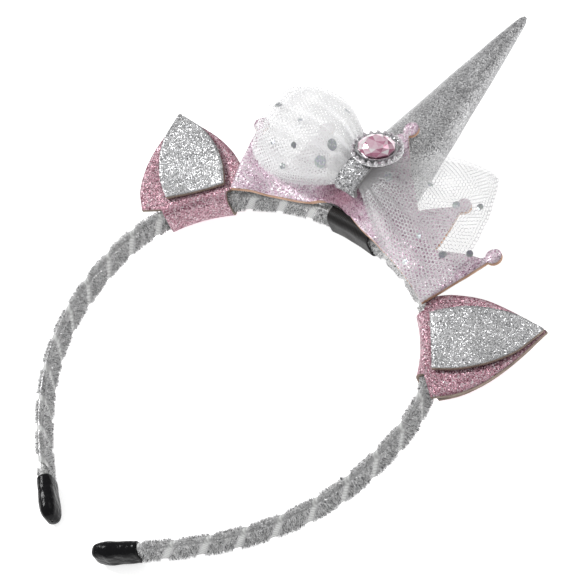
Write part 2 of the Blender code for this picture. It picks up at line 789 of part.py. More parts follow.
def build_setting(frame):
    """The silver cup under and round the stone, standing inside the ring."""
    base = SETTING_LIFT
    top = base + SETTING_RIM
    gap = 2 * SEAT_GAP
    wall = 2 * SETTING_WALL
    sections = (
        (0.9 * GEM_LENGTH + gap, 0.9 * GEM_WIDTH + gap, base),
        (GEM_LENGTH + gap + wall, GEM_WIDTH + gap + wall, base + 0.3 * SETTING_RIM),
        (GEM_LENGTH + gap + wall, GEM_WIDTH + gap + wall, top),
        (GEM_LENGTH + gap, GEM_WIDTH + gap, top),
        (GEM_LENGTH + gap, GEM_WIDTH + gap, base + SETTING_FLOOR),
    )
    rings = [oval_ring(length, width, z) for length, width, z in sections]
    return loft("gem_setting", rings, BRIGHT_METAL, frame)


def build_ring(frame):
    """Small stones in a row on an oval metal band, joined to it as one body."""
    band_rings = []
    for length_add, z in ((-1, 0.0), (1, 0.0), (1, RING_BAND_HEIGHT), (-1, RING_BAND_HEIGHT)):
        band_rings.append(oval_ring(
            RING_LENGTH + length_add * RING_BAND, RING_WIDTH + length_add * RING_BAND, z, sides=RING_BAND_SIDES
        ))
    points = [p for ring in band_rings for p in ring]
    faces = []
    for r in range(4):
        for c in range(RING_BAND_SIDES):
            d = (c + 1) % RING_BAND_SIDES
            low = r * RING_BAND_SIDES
            high = (r + 1) % 4 * RING_BAND_SIDES
            faces.append((low + c, low + d, high + d, high + c))
    mesh = mesh_from("rhinestone_ring", points, faces, close=True)
    ring = add_object("rhinestone_ring", mesh, CLEAR_STONE, frame)
    stones = bmesh.new()
    for k in range(RING_STONES):
        add_small_stone(stones, 2 * math.pi * (k + 0.5) / RING_STONES)
    bmesh.ops.recalc_face_normals(stones, faces=stones.faces)
    stone_mesh = bpy.data.meshes.new("ring stones")
    stones.to_mesh(stone_mesh)
    stones.free()
    cutter = bpy.data.objects.new("ring stones", stone_mesh)
    CUTTERS.objects.link(cutter)
    cutter.parent = frame
    cutter.hide_render = True
    cutter.display_type = "WIRE"
    union = ring.modifiers.new("stones on the band", "BOOLEAN")
    union.operation = "UNION"
    union.solver = "EXACT"
    union.object = cutter
    return ring


def add_small_stone(work, angle, sides=RING_STONE_SIDES):
    """A foot, a girdle and a flat table, on the ring's oval."""
    x = RING_LENGTH / 2 * math.cos(angle)
    y = RING_WIDTH / 2 * math.sin(angle)
    sections = (
        (1.0, 0.4 * RING_BAND_HEIGHT),
        (1.0, RING_BAND_HEIGHT + 0.45 * RING_STONE_HEIGHT),
        (0.5, RING_BAND_HEIGHT + RING_STONE_HEIGHT),
    )
    rings = []
    for share, z in sections:
        radius = RING_STONE_RADIUS * share
        ring = []
        for k in range(sides):
            a = 2 * math.pi * (k + 0.25) / sides
            ring.append(work.verts.new(brooch_point(x + radius * math.cos(a), y + radius * math.sin(a), z)))
        rings.append(ring)
    for low, high in zip(rings, rings[1:]):
        for k in range(sides):
            d = (k + 1) % sides
            work.faces.new((low[k], low[d], high[d], high[k]))
    work.faces.new(rings[0][::-1])
    work.faces.new(rings[-1])


def build_label(line, frame):
    """A black label folded round the front edge, the inside and the back edge of the wound band."""
    inside = WOUND_HALF_THICKNESS + TAPE_CELL_DROP + SEAT_GAP + LABEL_THICKNESS / 2
    face = WOUND_HALF_WIDTH + SEAT_GAP + LABEL_THICKNESS / 2
    section = [(LABEL_FRONT_RISE, face)]
    for k in range(4):
        angle = math.pi / 6 * k
        section.append((-inside * math.sin(angle), face - inside + inside * math.cos(angle)))
    section += [(out, -front) for out, front in reversed(section[1:])]
    rows = [
        [line.place(s, out, front) for s in np.linspace(LABEL_START, LABEL_END, 6)]
        for out, front in section
    ]
    return sheet("label", rows, LABEL_THICKNESS, BLACK_SATIN, frame)


def resting_tilt(line):
    """The angle at which the caps' ends and the horn's back touch one plane."""
    foot = BAND_HEIGHT + WOUND_HALF_THICKNESS
    cap_y = line.centre(line.strip_end)[1]
    cap_back = CAP_WIDTH / 2
    return max(
        math.atan2(HORN_DEPTH_RADIUS * row.depth - cap_back, foot + row.height * HORN_LENGTH - cap_y)
        for row in HORN_RINGS
    )


def set_down(frame, tilt):
    """Tilts the frame and moves it so that the object stands on z = 0, centred on the origin."""
    frame.rotation_euler = (tilt, 0.0, 0.0)
    bpy.context.view_layer.update()
    graph = bpy.context.evaluated_depsgraph_get()
    corners = []
    for obj in PARTS.objects:
        if obj.type != "MESH":
            continue
        shape = obj.evaluated_get(graph)
        data = shape.to_mesh()
        points = np.empty(len(data.vertices) * 3)
        data.vertices.foreach_get("co", points)
        matrix = np.array(shape.matrix_world)
        placed = points.reshape(-1, 3) @ matrix[:3, :3].T + matrix[:3, 3]
        corners += [placed.min(axis=0), placed.max(axis=0)]
        shape.to_mesh_clear()
    low = np.min(corners, axis=0)
    high = np.max(corners, axis=0)
    frame.location = (-(low[0] + high[0]) / 2, -(low[1] + high[1]) / 2, -low[2])
    bpy.context.view_layer.update()


clear_scene()
PARTS = bpy.data.collections.new("unicorn_headband")
CUTTERS = bpy.data.collections.new("cutters")
for collection in (PARTS, CUTTERS):
    bpy.context.scene.collection.children.link(collection)

SATIN = make_material("pale satin", (0.72, 0.73, 0.73), 0.4)
TINSEL = make_material("silver tinsel", (0.62, 0.63, 0.65), 0.3, 0.8)
RUBBER = make_material("black rubber", (0.01, 0.01, 0.011), 0.18)
PINK_LEATHER = make_material("pink glitter leather", (0.72, 0.32, 0.40), 0.45)
SILVER_LEATHER = make_material("silver glitter leather", (0.66, 0.67, 0.69), 0.4, 0.5)
CHUNKY_PINK = make_material("chunky pink glitter", (0.80, 0.52, 0.66), 0.35)
COARSE_SILVER = make_material("coarse silver glitter", (0.6, 0.62, 0.64), 0.3, 0.7)
TULLE = make_material("white tulle", (0.93, 0.93, 0.93), 0.6)
PINK_GLASS = make_material("pink stone", (0.85, 0.50, 0.62), 0.05)
BRIGHT_METAL = make_material("bright silver", (0.8, 0.8, 0.8), 0.2, 1.0)
CLEAR_STONE = make_material("clear stone", (0.85, 0.85, 0.86), 0.08)
BLACK_SATIN = make_material("black satin", (0.012, 0.012, 0.013), 0.4)

band_line = BandLine()
headband = bpy.data.objects.new("headband", None)
PARTS.objects.link(headband)

build_band_strip(band_line, headband)
build_tinsel_wrap(band_line, headband)
build_end_cap("end_cap_left", -1, band_line, headband)
build_end_cap("end_cap_right", 1, band_line, headband)
for ear_place in EARS:
    build_outer_ear("ear_outer_" + ear_place.name, ear_place, band_line, headband)
    build_inner_ear("ear_inner_" + ear_place.name, ear_place, band_line, headband)
build_crown(band_line, headband)
build_horn(headband)
build_loop("bow_loop_left", LOOP_LEFT, headband)
build_loop("bow_loop_right", LOOP_RIGHT, headband)
build_knot(headband)
build_ring(headband)
build_setting(headband)
build_gem(headband)
build_label(band_line, headband)
set_down(headband, resting_tilt(band_line))
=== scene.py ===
"""Looks of the unicorn horn headband: tinsel, tulle, glitter leather and stones round its frame."""

import math
from collections import namedtuple

import bpy
import numpy as np
from mathutils import Matrix


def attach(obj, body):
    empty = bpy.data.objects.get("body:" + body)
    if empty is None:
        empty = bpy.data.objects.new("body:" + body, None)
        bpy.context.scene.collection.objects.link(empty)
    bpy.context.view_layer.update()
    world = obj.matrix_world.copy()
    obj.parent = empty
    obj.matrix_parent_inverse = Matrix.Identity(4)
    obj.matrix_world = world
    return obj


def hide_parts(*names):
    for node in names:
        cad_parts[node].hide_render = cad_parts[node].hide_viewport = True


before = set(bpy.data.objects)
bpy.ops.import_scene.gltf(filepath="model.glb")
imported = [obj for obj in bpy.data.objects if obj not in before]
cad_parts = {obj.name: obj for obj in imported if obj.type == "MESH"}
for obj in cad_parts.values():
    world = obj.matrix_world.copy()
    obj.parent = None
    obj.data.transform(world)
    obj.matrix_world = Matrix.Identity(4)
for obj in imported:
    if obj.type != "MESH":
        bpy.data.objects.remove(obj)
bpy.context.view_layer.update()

MM = 0.001

# Place of the headband's own flat frame, X across the head, Y towards the horn, Z to the front
FRAME_TILT = 0.04172911
FRAME_SHIFT = (-0.00027323, -0.10534683, 0.00427126)

# Camera, by the directions of a head that wears the headband
CAMERA_AZIMUTH = math.radians(35.5)
CAMERA_ELEVATION = math.radians(-14.88)
CAMERA_ROLL = math.radians(42.4)
CAMERA_DISTANCE = 595.1 * MM
CAMERA_AIM = (60.8 * MM, 70.4 * MM)
CAMERA_LENS = 132.88
CAMERA_SENSOR = 36.0

# Clearances and sizes shared with the solids
SEAT_GAP = 0.3 * MM
WOUND_GAP = 0.5 * MM
BAND_HEIGHT = 123.0 * MM
BAND_SPREAD = 117.0 * MM
BAND_WIDEST_HEIGHT = 76.5 * MM
BAND_TOP_RADIUS = 60.0 * MM
TIP_DISTANCE = 16.1 * MM
TIP_SLANT = math.radians(53.6)
STRIP_WIDTH = 6.2 * MM
STRIP_THICKNESS = 1.2 * MM
STRIP_END_TRIM = 2.7 * MM
TOP_HANDLE = 0.59
SHOULDER_HANDLE = 0.55
SIDE_HANDLE = 0.49
TIP_HANDLE = 0.63

# Tinsel tape and its bristles
TAPE_WIDTH = 8.7 * MM
TAPE_PITCH = 10.4 * MM
TAPE_THICKNESS = 0.4 * MM
TAPE_CELL_DROP = 0.2 * MM
TAPE_LIFT = 0.5
# Painted shade of the tape seen between the rows of bristles.
TAPE_PAINTED_SHADE = 0.31
TAPE_START_SHIFT = 8.3 * MM
TAPE_STEPS_A_TURN = 44
RIBBON_OVERLAP = 0.5 * MM
RIBBON_LIFT = 0.3
RIBBON_STEPS_A_TURN = 40
BRISTLES = 66000
BRISTLE_ROWS = 27
BRISTLE_ROW_SCATTER = 0.17
END_BRISTLES = 700
END_FUZZ = 2.6 * MM
BRISTLE_LENGTH = (0.35 * MM, 0.85 * MM)
BRISTLE_WIDTH = (0.10 * MM, 0.20 * MM)
BRISTLE_SPREAD = 0.585
BRISTLE_TIP_SHARE = 0.42
BRISTLE_MARGIN = 0.45 * MM

# End caps
CAP_LENGTH = 13.9 * MM
CAP_WIDTH = 8.7 * MM
CAP_THICKNESS = 5.0 * MM
CAP_CORNER = 2.5 * MM
CAP_END_WALL = 1.4 * MM
CAP_BORE_CLEARANCE = SEAT_GAP + 0.1 * MM
CAP_ARC_STEPS = 7
CAP_LUMP = 0.018

# Ears
EAR_STATION = 52.5 * MM
EAR_LENGTH = 33.0 * MM
EAR_HALF_WIDTH = 16.5 * MM
EAR_AXIS_SHIFT = 1.1 * MM
EAR_APEX_SHIFT = 3.1 * MM
EAR_CORNER_DROOP = 2.4 * MM
EAR_LEAF_BASE = 1.0 * MM
EAR_STRAP_HALF_WIDTH = 10.6 * MM
EAR_LEATHER = 1.0 * MM
EAR_APEX_LIFT = 0.5 * MM
EAR_BACK_SHARE = 0.80
EAR_COLUMNS = 27
EAR_WAVE = 0.22 * MM
EAR_WAVE_LENGTH = 17 * MM
INNER_EAR_HALF_WIDTH = 10.1 * MM
INNER_EAR_LENGTH = 32.6 * MM
INNER_EAR_CURL = 0.5 * MM

# Crown
CROWN_HALF_LENGTH = 41.2 * MM
CROWN_POINT_HEIGHT = 24.6 * MM
CROWN_FRONT_POINT_HEIGHT = 31.4 * MM
CROWN_END_POINT_HEIGHT = 23.5 * MM
CROWN_BALL_RADIUS = 2.45 * MM
CROWN_BALL_START = -0.74
CROWN_BALL_END = 0.97
CROWN_BALL_ROWS = 13
CROWN_LEATHER = 1.2 * MM
CROWN_HEM_DROP = 1.6 * MM
CROWN_HEM_END_RISE = 1.5 * MM
CROWN_HEM_ARCH = 3.2 * MM
CROWN_HEM_ARCH_PLACE = -5.5 * MM
CROWN_HEM_ARCH_HALF_WIDTH = 9.0 * MM
CROWN_BULGE_HALF_WIDTH = 15.0 * MM
CROWN_BULGE_RISE = 6.0 * MM
CROWN_BULGE_START = 1.0 * MM
CROWN_BULGE_CLIMB = 6.5 * MM
CROWN_BULGE_SLOPE = 0.036
CROWN_END_START = 28.0 * MM
CROWN_CELL = 0.9 * MM
CROWN_ROWS = 26
CROWN_ROW_SPACING = 1.15
CROWN_SLACK = 0.28 * MM
CROWN_SLACK_LENGTH = 13 * MM
CROWN_OVER_EAR = EAR_LEATHER + SEAT_GAP + 0.1 * MM

# Horn
HORN_LENGTH = 86.0 * MM
HORN_RADIUS = 14.2 * MM
HORN_DEPTH_RADIUS = 9.6 * MM
HORN_FOOT_SHIFT = -2.2 * MM
HORN_LEAN = math.radians(2.4)
HORN_SIDES = 72
HORN_STEPS = 90
HORN_DENT = 0.016
HORN_DENT_LENGTH = 23 * MM
HORN_DENT_TURN = 8 * MM
HORN_SEAM = 0.03
HORN_SEAM_ANGLE = 1.62 * math.pi
HORN_SEAM_HALF_ANGLE = 0.07

# Tulle bow and the strap round its middle
TULLE_WALL = 1.0 * MM
TULLE_CELL = 1.25 * MM
DOT_SIDES = 20
PLY_GAP = 0.2 * MM
PLY_REACH_LOSS = 0.04
PLY_SWELL_LOSS = 0.16
NET_PLEAT = 0.35 * MM
NET_SLACK = 0.35 * MM
NET_SLACK_LENGTH = 11 * MM
DOT_LIFT = 0.06 * MM
DOT_CURL = 0.06 * MM
BOW_NECK_FRONT = 14.9 * MM
BOW_NECK_DEPTH = 1.4 * MM
KNOT_WIDTH = 7.8 * MM
KNOT_HEIGHT = 24.0 * MM
KNOT_FRONT = 18.4 * MM
KNOT_SHIFT = -0.6 * MM
KNOT_THICKNESS = 1.2 * MM
KNOT_EDGE_DROP = 0.5 * MM
KNOT_LEAN = math.radians(2.0)

# Gem and its ring of stones
GEM_LENGTH = 11.6 * MM
GEM_WIDTH = 9.0 * MM
GEM_HEIGHT = 2.6 * MM
GEM_GIRDLE = 0.8 * MM
GEM_SIDES = 10
GEM_TURN = math.radians(20.0)
GEM_TIP_BACK = math.radians(8.0)
GEM_PLACE = (0.8 * MM, BAND_HEIGHT + 17.6 * MM, 18.8 * MM)
SETTING_WALL = 0.4 * MM
SETTING_FLOOR = 0.8 * MM
SETTING_LIFT = 0.15 * MM
RING_BAND = 1.1 * MM
RING_BAND_HEIGHT = 0.6 * MM
RING_SCALLOP = 0.12 * MM
RING_STONES = 22
RING_STONE_RADIUS = 0.7 * MM
RING_STONE_HEIGHT = 1.1 * MM
RING_STONE_SIDES = 8

# Label
LABEL_START = -7.5 * MM
LABEL_END = 9.5 * MM
LABEL_RAMP = 5.0 * MM
LABEL_FRONT_RISE = 1.4 * MM
LABEL_THICKNESS = 1.0 * MM
LABEL_CLOTH = 0.4 * MM
LABEL_WAVE = 0.08 * MM
LABEL_RAMP_SHIFT = 1.6

# Floor, and steps of the long curves
FLOOR_HALF_SIDE = 3.0
LINE_STEPS = 400

WOUND_HALF_THICKNESS = STRIP_THICKNESS / 2 + WOUND_GAP + TAPE_THICKNESS
WOUND_HALF_WIDTH = STRIP_WIDTH / 2 + WOUND_GAP + TAPE_THICKNESS
RING_OFFSET = 2 * (SEAT_GAP + SETTING_WALL + SEAT_GAP + RING_STONE_RADIUS)
RING_LENGTH = GEM_LENGTH + RING_OFFSET
RING_WIDTH = GEM_WIDTH + RING_OFFSET
EAR_FRONT = WOUND_HALF_WIDTH + SEAT_GAP + EAR_LEATHER / 2
EAR_INSIDE = WOUND_HALF_THICKNESS + TAPE_CELL_DROP + SEAT_GAP + EAR_LEATHER / 2

LeafRow = namedtuple("LeafRow", "height half_width")
OUTER_LEAF = (
    LeafRow(0.06, 1.00), LeafRow(0.23, 0.99), LeafRow(0.40, 0.89), LeafRow(0.61, 0.66),
    LeafRow(0.79, 0.38), LeafRow(0.91, 0.17), LeafRow(1.00, 0.02),
)
INNER_LEAF = (
    LeafRow(0.00, 0.92), LeafRow(0.14, 0.98), LeafRow(0.28, 1.00), LeafRow(0.42, 0.95),
    LeafRow(0.61, 0.80), LeafRow(0.78, 0.55), LeafRow(0.90, 0.27), LeafRow(1.00, 0.03),
)

CapRing = namedtuple("CapRing", "along thickness width")
CAP_RINGS = (
    CapRing(0.00, 0.14, 0.20), CapRing(0.01, 0.36, 0.42), CapRing(0.03, 0.53, 0.60),
    CapRing(0.07, 0.71, 0.77), CapRing(0.13, 0.84, 0.88), CapRing(0.22, 0.95, 0.97),
    CapRing(0.34, 1.03, 1.00), CapRing(0.52, 0.98, 0.97), CapRing(0.74, 0.96, 0.94),
    CapRing(0.94, 0.93, 0.91), CapRing(0.985, 0.90, 0.90), CapRing(1.00, 0.80, 0.85),
)

CrownColumn = namedtuple("CrownColumn", "hem top height")
CROWN_COLUMNS = (
    CrownColumn(0.030, 0.036, 0.905), CrownColumn(0.175, 0.170, 0.730), CrownColumn(0.345, 0.374, 0.560),
    CrownColumn(0.485, 0.486, 0.905), CrownColumn(0.545, 0.534, 0.905), CrownColumn(0.715, 0.653, 0.410),
    CrownColumn(0.950, 0.867, 0.812), CrownColumn(1.000, 0.909, 0.831),
)

HornRing = namedtuple("HornRing", "height radius depth")
HORN_RINGS = (
    HornRing(0.000, 0.960, 0.50), HornRing(0.030, 1.000, 0.80), HornRing(0.080, 0.965, 1.00),
    HornRing(0.140, 0.905, 1.04), HornRing(0.290, 0.745, 1.09), HornRing(0.390, 0.655, 0.969),
    HornRing(0.620, 0.455, 0.673), HornRing(0.820, 0.275, 0.407), HornRing(0.950, 0.140, 0.207),
    HornRing(0.985, 0.095, 0.141), HornRing(1.000, 0.045, 0.067),
)

KnotRow = namedtuple("KnotRow", "height front")
KNOT_ROWS = (
    KnotRow(0.142, 0.804), KnotRow(0.163, 0.902), KnotRow(0.225, 0.957), KnotRow(0.333, 0.978),
    KnotRow(0.458, 0.995), KnotRow(0.583, 1.000), KnotRow(0.750, 0.978), KnotRow(0.896, 0.891),
    KnotRow(1.000, 0.750),
)

# A loop of the bow: its two long edges as curves of x and of height above the band's line, in
# millimetres, then its depths and pleats. Dots are places on it, with a radius in millimetres and
# a painted brightness that stands for the light that each dot's foil reflects.
Loop = namedtuple(
    "Loop", "side top bottom swell rear depth edge_loss edge_drop pleats pleat_depth plies thread dots"
)
Dot = namedtuple("Dot", "turn across radius shade")
LOOPS = (
    Loop(
        side="left",
        top=((-0.75, 13.2), (-9.5, 22.5), (-24.0, 36.0), (-44.5, 26.0)),
        bottom=((-0.75, 6.4), (-9.0, 4.0), (-20.0, -8.5), (-38.0, 0.0)),
        swell=-3.2 * MM,
        rear=7.6 * MM,
        depth=13.0 * MM,
        edge_loss=0.70,
        edge_drop=2.5 * MM,
        pleats=5,
        pleat_depth=0.8 * MM,
        plies=3,
        thread=0.24 * MM,
        dots=(
            Dot(0.400, 0.16, 1.25, 0.62), Dot(0.355, -0.56, 0.85, 0.60), Dot(0.294, -0.46, 1.05, 0.42),
            Dot(0.202, -0.07, 1.80, 0.66), Dot(0.305, -0.85, 1.00, 0.66), Dot(0.212, -0.57, 1.90, 0.92),
            Dot(0.254, 0.85, 1.00, 0.80), Dot(0.315, 0.03, 0.85, 0.95),
        ),
    ),
    Loop(
        side="right",
        top=((0.75, 13.2), (8.0, 24.0), (18.0, 35.0), (33.0, 32.0)),
        bottom=((0.75, 6.4), (7.2, 4.4), (19.5, -10.0), (41.0, -12.5)),
        swell=5.0 * MM,
        rear=7.6 * MM,
        depth=4.4 * MM,
        edge_loss=0.30,
        edge_drop=0.0,
        pleats=6,
        pleat_depth=0.6 * MM,
        plies=1,
        thread=0.21 * MM,
        dots=(
            Dot(0.352, 0.31, 1.15, 0.78), Dot(0.415, 0.49, 1.00, 0.50), Dot(0.400, -0.36, 1.20, 0.52),
            Dot(0.490, -0.10, 1.00, 0.58), Dot(0.166, 0.18, 1.40, 0.90), Dot(0.275, 0.38, 0.85, 0.90),
            Dot(0.345, -0.79, 0.90, 0.80), Dot(0.326, -0.40, 0.85, 0.85),
        ),
    ),
)

EarPlace = namedtuple("EarPlace", "name side leaf_shift")
EARS = (
    EarPlace("left", -1, 0.0), EarPlace("right", 1, 1.8 * MM),
)

rng = np.random.default_rng(26)


class Look:
    """A material's node tree, with short calls for the nodes used here."""

    def __init__(self, name, values):
        self.material = bpy.data.materials.new(name)
        self.material.use_nodes = True
        self.tree = self.material.node_tree
        self.shader = self.tree.nodes["Principled BSDF"]
        self.finish_with(values)
        self.place = self.node("ShaderNodeTexCoord").outputs["Object"]

    def feed(self, socket, value):
        if isinstance(value, bpy.types.NodeSocket):
            self.tree.links.new(value, socket)
        else:
            socket.default_value = value

    def node(self, kind, inputs=None, **settings):
        made = self.tree.nodes.new(kind)
        for key, value in settings.items():
            setattr(made, key, value)
        for key, value in (inputs or {}).items():
            self.feed(made.inputs[key], value)
        return made

    def finish_with(self, values):
        for key, value in values.items():
            self.feed(self.shader.inputs[key], value)
        return self.material

    def math(self, operation, a, b=0.0, c=0.0):
        return self.node("ShaderNodeMath", {0: a, 1: b, 2: c}, operation=operation).outputs[0]

    def blend(self, a, a_share, b, b_share):
        """Two values, each by its own share, added."""
        return self.math("MULTIPLY_ADD", a, a_share, self.math("MULTIPLY", b, b_share))

    def vector(self, operation, a, b=(0.0, 0.0, 0.0), scale=1.0):
        return self.node("ShaderNodeVectorMath", {0: a, 1: b, 3: scale}, operation=operation).outputs[0]

    def noise(self, size, detail=2.0, roughness=0.5):
        settings = {"Vector": self.place, "Scale": 1.0 / size, "Detail": detail, "Roughness": roughness}
        return self.node("ShaderNodeTexNoise", settings).outputs["Fac"]

    def ribs(self, size, distortion, direction):
        settings = {"Vector": self.place, "Scale": 1.0 / size, "Distortion": distortion, "Detail": 1.0}
        made = self.node("ShaderNodeTexWave", settings, wave_type="BANDS", bands_direction=direction)
        return made.outputs["Fac"]

    def cells(self, size):
        return self.node("ShaderNodeTexVoronoi", {"Vector": self.place, "Scale": 1.0 / size})

    def random(self, cells):
        """Three random values of each cell."""
        return self.node("ShaderNodeSeparateColor", {"Color": cells.outputs["Color"]}).outputs

    def shade(self):
        """The painted light that each face carries: a brightness standing in for the reflection or shade on
        it.
        """
        return self.node("ShaderNodeAttribute", attribute_name="shade").outputs["Fac"]

    def leaned(self, *flakes):
        """The face's normal, leaned at random by pairs of cells and how far each leans."""
        normal = self.node("ShaderNodeNewGeometry").outputs["Normal"]
        for cells, lean in flakes:
            spread = self.vector("SUBTRACT", cells.outputs["Color"], (0.5, 0.5, 0.5))
            normal = self.vector("ADD", normal, self.vector("SCALE", spread, scale=lean))
        return self.vector("NORMALIZE", normal)

    def ramp(self, value, stops):
        made = self.node("ShaderNodeValToRGB", {"Fac": value})
        elements = made.color_ramp.elements
        while len(elements) < len(stops):
            elements.new(0.5)
        for element, (position, colour) in zip(elements, stops):
            element.position = position
            element.color = (*colour, 1.0)
        return made.outputs["Color"]

    def remap(self, value, low, high, start=0.0, end=1.0):
        settings = {"Value": value, "From Min": start, "From Max": end, "To Min": low, "To Max": high}
        return self.node("ShaderNodeMapRange", settings).outputs["Result"]

    def mix(self, share, a, b, blend="MIX"):
        made = self.node("ShaderNodeMix", data_type="RGBA", blend_type=blend)
        for socket, value in ((0, share), (6, a), (7, b)):
            self.feed(made.inputs[socket], value)
        return made.outputs[2]

    def grey(self, value):
        return self.node("ShaderNodeCombineColor", {"Red": value, "Green": value, "Blue": value}).outputs[0]

    def bump(self, height, depth, normal=None):
        settings = {"Height": height, "Distance": depth}
        if normal is not None:
            settings["Normal"] = normal
        return self.node("ShaderNodeBump", settings).outputs["Normal"]


def glitter_look(name, flake, stops, metallic, lean, painted_highlight_threshold, painted_shadow_centre=None):
    """Flakes of one size glued on cloth: each with its own colour, gloss and lean, and a few flakes painted
    white as painted glints.

    The optional point is where the painted shadow under the bow's knot is darkest; the colour darkens round
    it with a noisy edge.
    """
    look = Look(name, {"Metallic": metallic, "Specular IOR Level": 0.6})
    flakes = look.cells(flake)
    small = look.cells(0.5 * flake)
    random = look.random(flakes)
    # Painted glints: a few small cells turned nearly white in the colour.
    painted_glint = look.math("GREATER_THAN", look.random(small)[1], painted_highlight_threshold)
    colour = look.mix(look.math("MULTIPLY", painted_glint, 0.85), look.ramp(random[0], stops), (1.0, 1.0, 1.0, 1.0))
    gap = look.remap(flakes.outputs["Distance"], 1.0, 0.55, 0.45, 0.85)
    cloud = look.remap(look.noise(7 * MM, 3.0), 0.86, 1.10, 0.3, 0.7)
    colour = look.mix(1.0, colour, look.grey(look.math("MULTIPLY", gap, cloud)), blend="MULTIPLY")
    if painted_shadow_centre is not None:
        # Painted shadow under the bow's knot, multiplied into the colour near the point.
        away = look.node("ShaderNodeVectorMath", {0: look.place, 1: painted_shadow_centre}, operation="DISTANCE")
        near = look.math("MULTIPLY_ADD", look.noise(1.6 * MM), 7 * MM, away.outputs["Value"])
        painted_shadow = look.ramp(look.math("DIVIDE", near, 20 * MM), (
            (0.35, (0.42, 0.25, 0.30)), (0.62, (0.80, 0.68, 0.73)), (0.78, (1.0, 1.0, 1.0)),
        ))
        colour = look.mix(1.0, colour, painted_shadow, blend="MULTIPLY")
    normal = look.leaned((flakes, lean), (small, 0.5 * lean))
    return look.finish_with({
        "Base Color": colour,
        "Roughness": look.remap(random[1], 0.16, 0.55),
        "Normal": look.bump(look.noise(2.2 * MM, 3.0), 0.12 * MM, normal),
    })


def backing_look():
    """Grey felted cloth on the hidden side of the glitter leather."""
    look = Look("grey backing cloth", {"Roughness": 0.9, "Sheen Weight": 0.25})
    fibres = look.noise(0.25 * MM, 4.0, roughness=0.7)
    tone = look.blend(fibres, 0.35, look.noise(4 * MM), 0.3)
    colour = look.ramp(tone, ((0.15, (0.17, 0.165, 0.165)), (0.55, (0.42, 0.41, 0.41))))
    return look.finish_with({"Base Color": colour, "Normal": look.bump(fibres, 0.1 * MM)})


def cut_edge_look(name, stops):
    """The edge that a cut leather sheet shows between its glitter and its backing."""
    look = Look(name, {"Roughness": 0.75})
    grain = look.noise(0.3 * MM, 3.0, roughness=0.6)
    colour = look.ramp(look.blend(grain, 0.5, look.noise(3 * MM), 0.5), stops)
    return look.finish_with({"Base Color": colour, "Normal": look.bump(grain, 0.08 * MM)})


def satin_look():
    """Pale ribbed satin over the strip, seen between the turns of tinsel."""
    look = Look("pale satin", {"Sheen Weight": 0.3})
    fibres = look.noise(0.2 * MM)
    tone = look.blend(look.ribs(2.4 * MM, 1.2, "DIAGONAL"), 0.5, fibres, 0.5)
    return look.finish_with({
        "Base Color": look.ramp(tone, ((0.1, (0.40, 0.40, 0.395)), (0.75, (0.72, 0.73, 0.72)))),
        "Roughness": look.remap(fibres, 0.3, 0.55),
        "Normal": look.bump(tone, 0.12 * MM),
    })


def tinsel_look():
    """Cut metallic film: every bristle carries its own painted brightness, standing in for the light that its
    film reflects.
    """
    look = Look("silver tinsel", {"Metallic": 0.25, "Specular IOR Level": 0.8})
    streak = look.noise(0.3 * MM)
    colour = look.ramp(look.shade(), TINSEL_REFLECTION_STOPS)
    return look.finish_with({
        "Base Color": look.mix(0.35, colour, look.grey(streak), blend="OVERLAY"),
        "Roughness": look.remap(streak, 0.18, 0.42),
        "Normal": look.bump(streak, 0.05 * MM),
    })


def rubber_look():
    """Dipped black rubber: glossy, a little lumpy, with faint dust."""
    look = Look("black rubber", {"Specular IOR Level": 0.11})
    skin = look.noise(0.35 * MM, 3.0)
    dust = look.math("GREATER_THAN", look.noise(0.5 * MM, 4.0), 0.70)
    height = look.math("MULTIPLY_ADD", skin, 0.06, look.noise(2.6 * MM))
    return look.finish_with({
        "Base Color": look.mix(dust, (0.008, 0.008, 0.009, 1.0), (0.045, 0.045, 0.047, 1.0)),
        "Roughness": look.remap(skin, 0.10, 0.26),
        "Normal": look.bump(height, 0.5 * MM),
    })


def tulle_look(name, low, high):
    """White nylon thread, a little see-through."""
    look = Look(name, {
        "Roughness": 0.5, "Sheen Weight": 0.2, "Alpha": 0.82, "Subsurface Weight": 0.25,
        "Subsurface Radius": (0.8 * MM, 0.8 * MM, 0.8 * MM), "Subsurface Scale": 1.0,
    })
    thread = look.noise(0.15 * MM)
    tone = look.blend(thread, 0.3, look.noise(5 * MM), 0.7)
    colour = look.ramp(tone, ((0.2, (low, low, 1.02 * low)), (0.7, (high, high, high))))
    return look.finish_with({"Base Color": colour, "Normal": look.bump(thread, 0.04 * MM)})


def foil_look():
    """Thin hologram foil of the dots: grey with green and violet in it, darkened by each dot's painted
    reflection brightness.
    """
    look = Look("hologram foil", {"Metallic": 0.25, "Roughness": 0.3})
    facets = look.cells(0.45 * MM)
    tint = look.ramp(look.random(facets)[0], FOIL_STOPS)
    colour = look.mix(1.0, tint, look.grey(look.shade()), blend="MULTIPLY")
    return look.finish_with({"Base Color": colour, "Normal": look.leaned((facets, 0.35))})


def stone_look(name, stops):
    """Foil-backed glass: each facet carries a painted brightness, standing in for the light that it throws
    back.
    """
    look = Look(name, {
        "Metallic": 0.35, "Roughness": 0.04, "Coat Weight": 1.0, "Coat Roughness": 0.02,
        "Specular IOR Level": 0.8,
    })
    streak = look.noise(0.9 * MM, 1.0)
    colour = look.ramp(look.blend(streak, 0.3, look.shade(), 0.85), stops)
    return look.finish_with({"Base Color": colour, "Normal": look.bump(streak, 0.03 * MM)})


def metal_look():
    """Bright plated metal with fine wear."""
    look = Look("bright silver", {"Metallic": 1.0})
    wear = look.noise(0.5 * MM, 4.0)
    return look.finish_with({
        "Base Color": look.ramp(wear, ((0.3, (0.55, 0.55, 0.56)), (0.6, (0.86, 0.86, 0.87)))),
        "Roughness": look.remap(wear, 0.14, 0.34),
        "Normal": look.bump(wear, 0.04 * MM),
    })


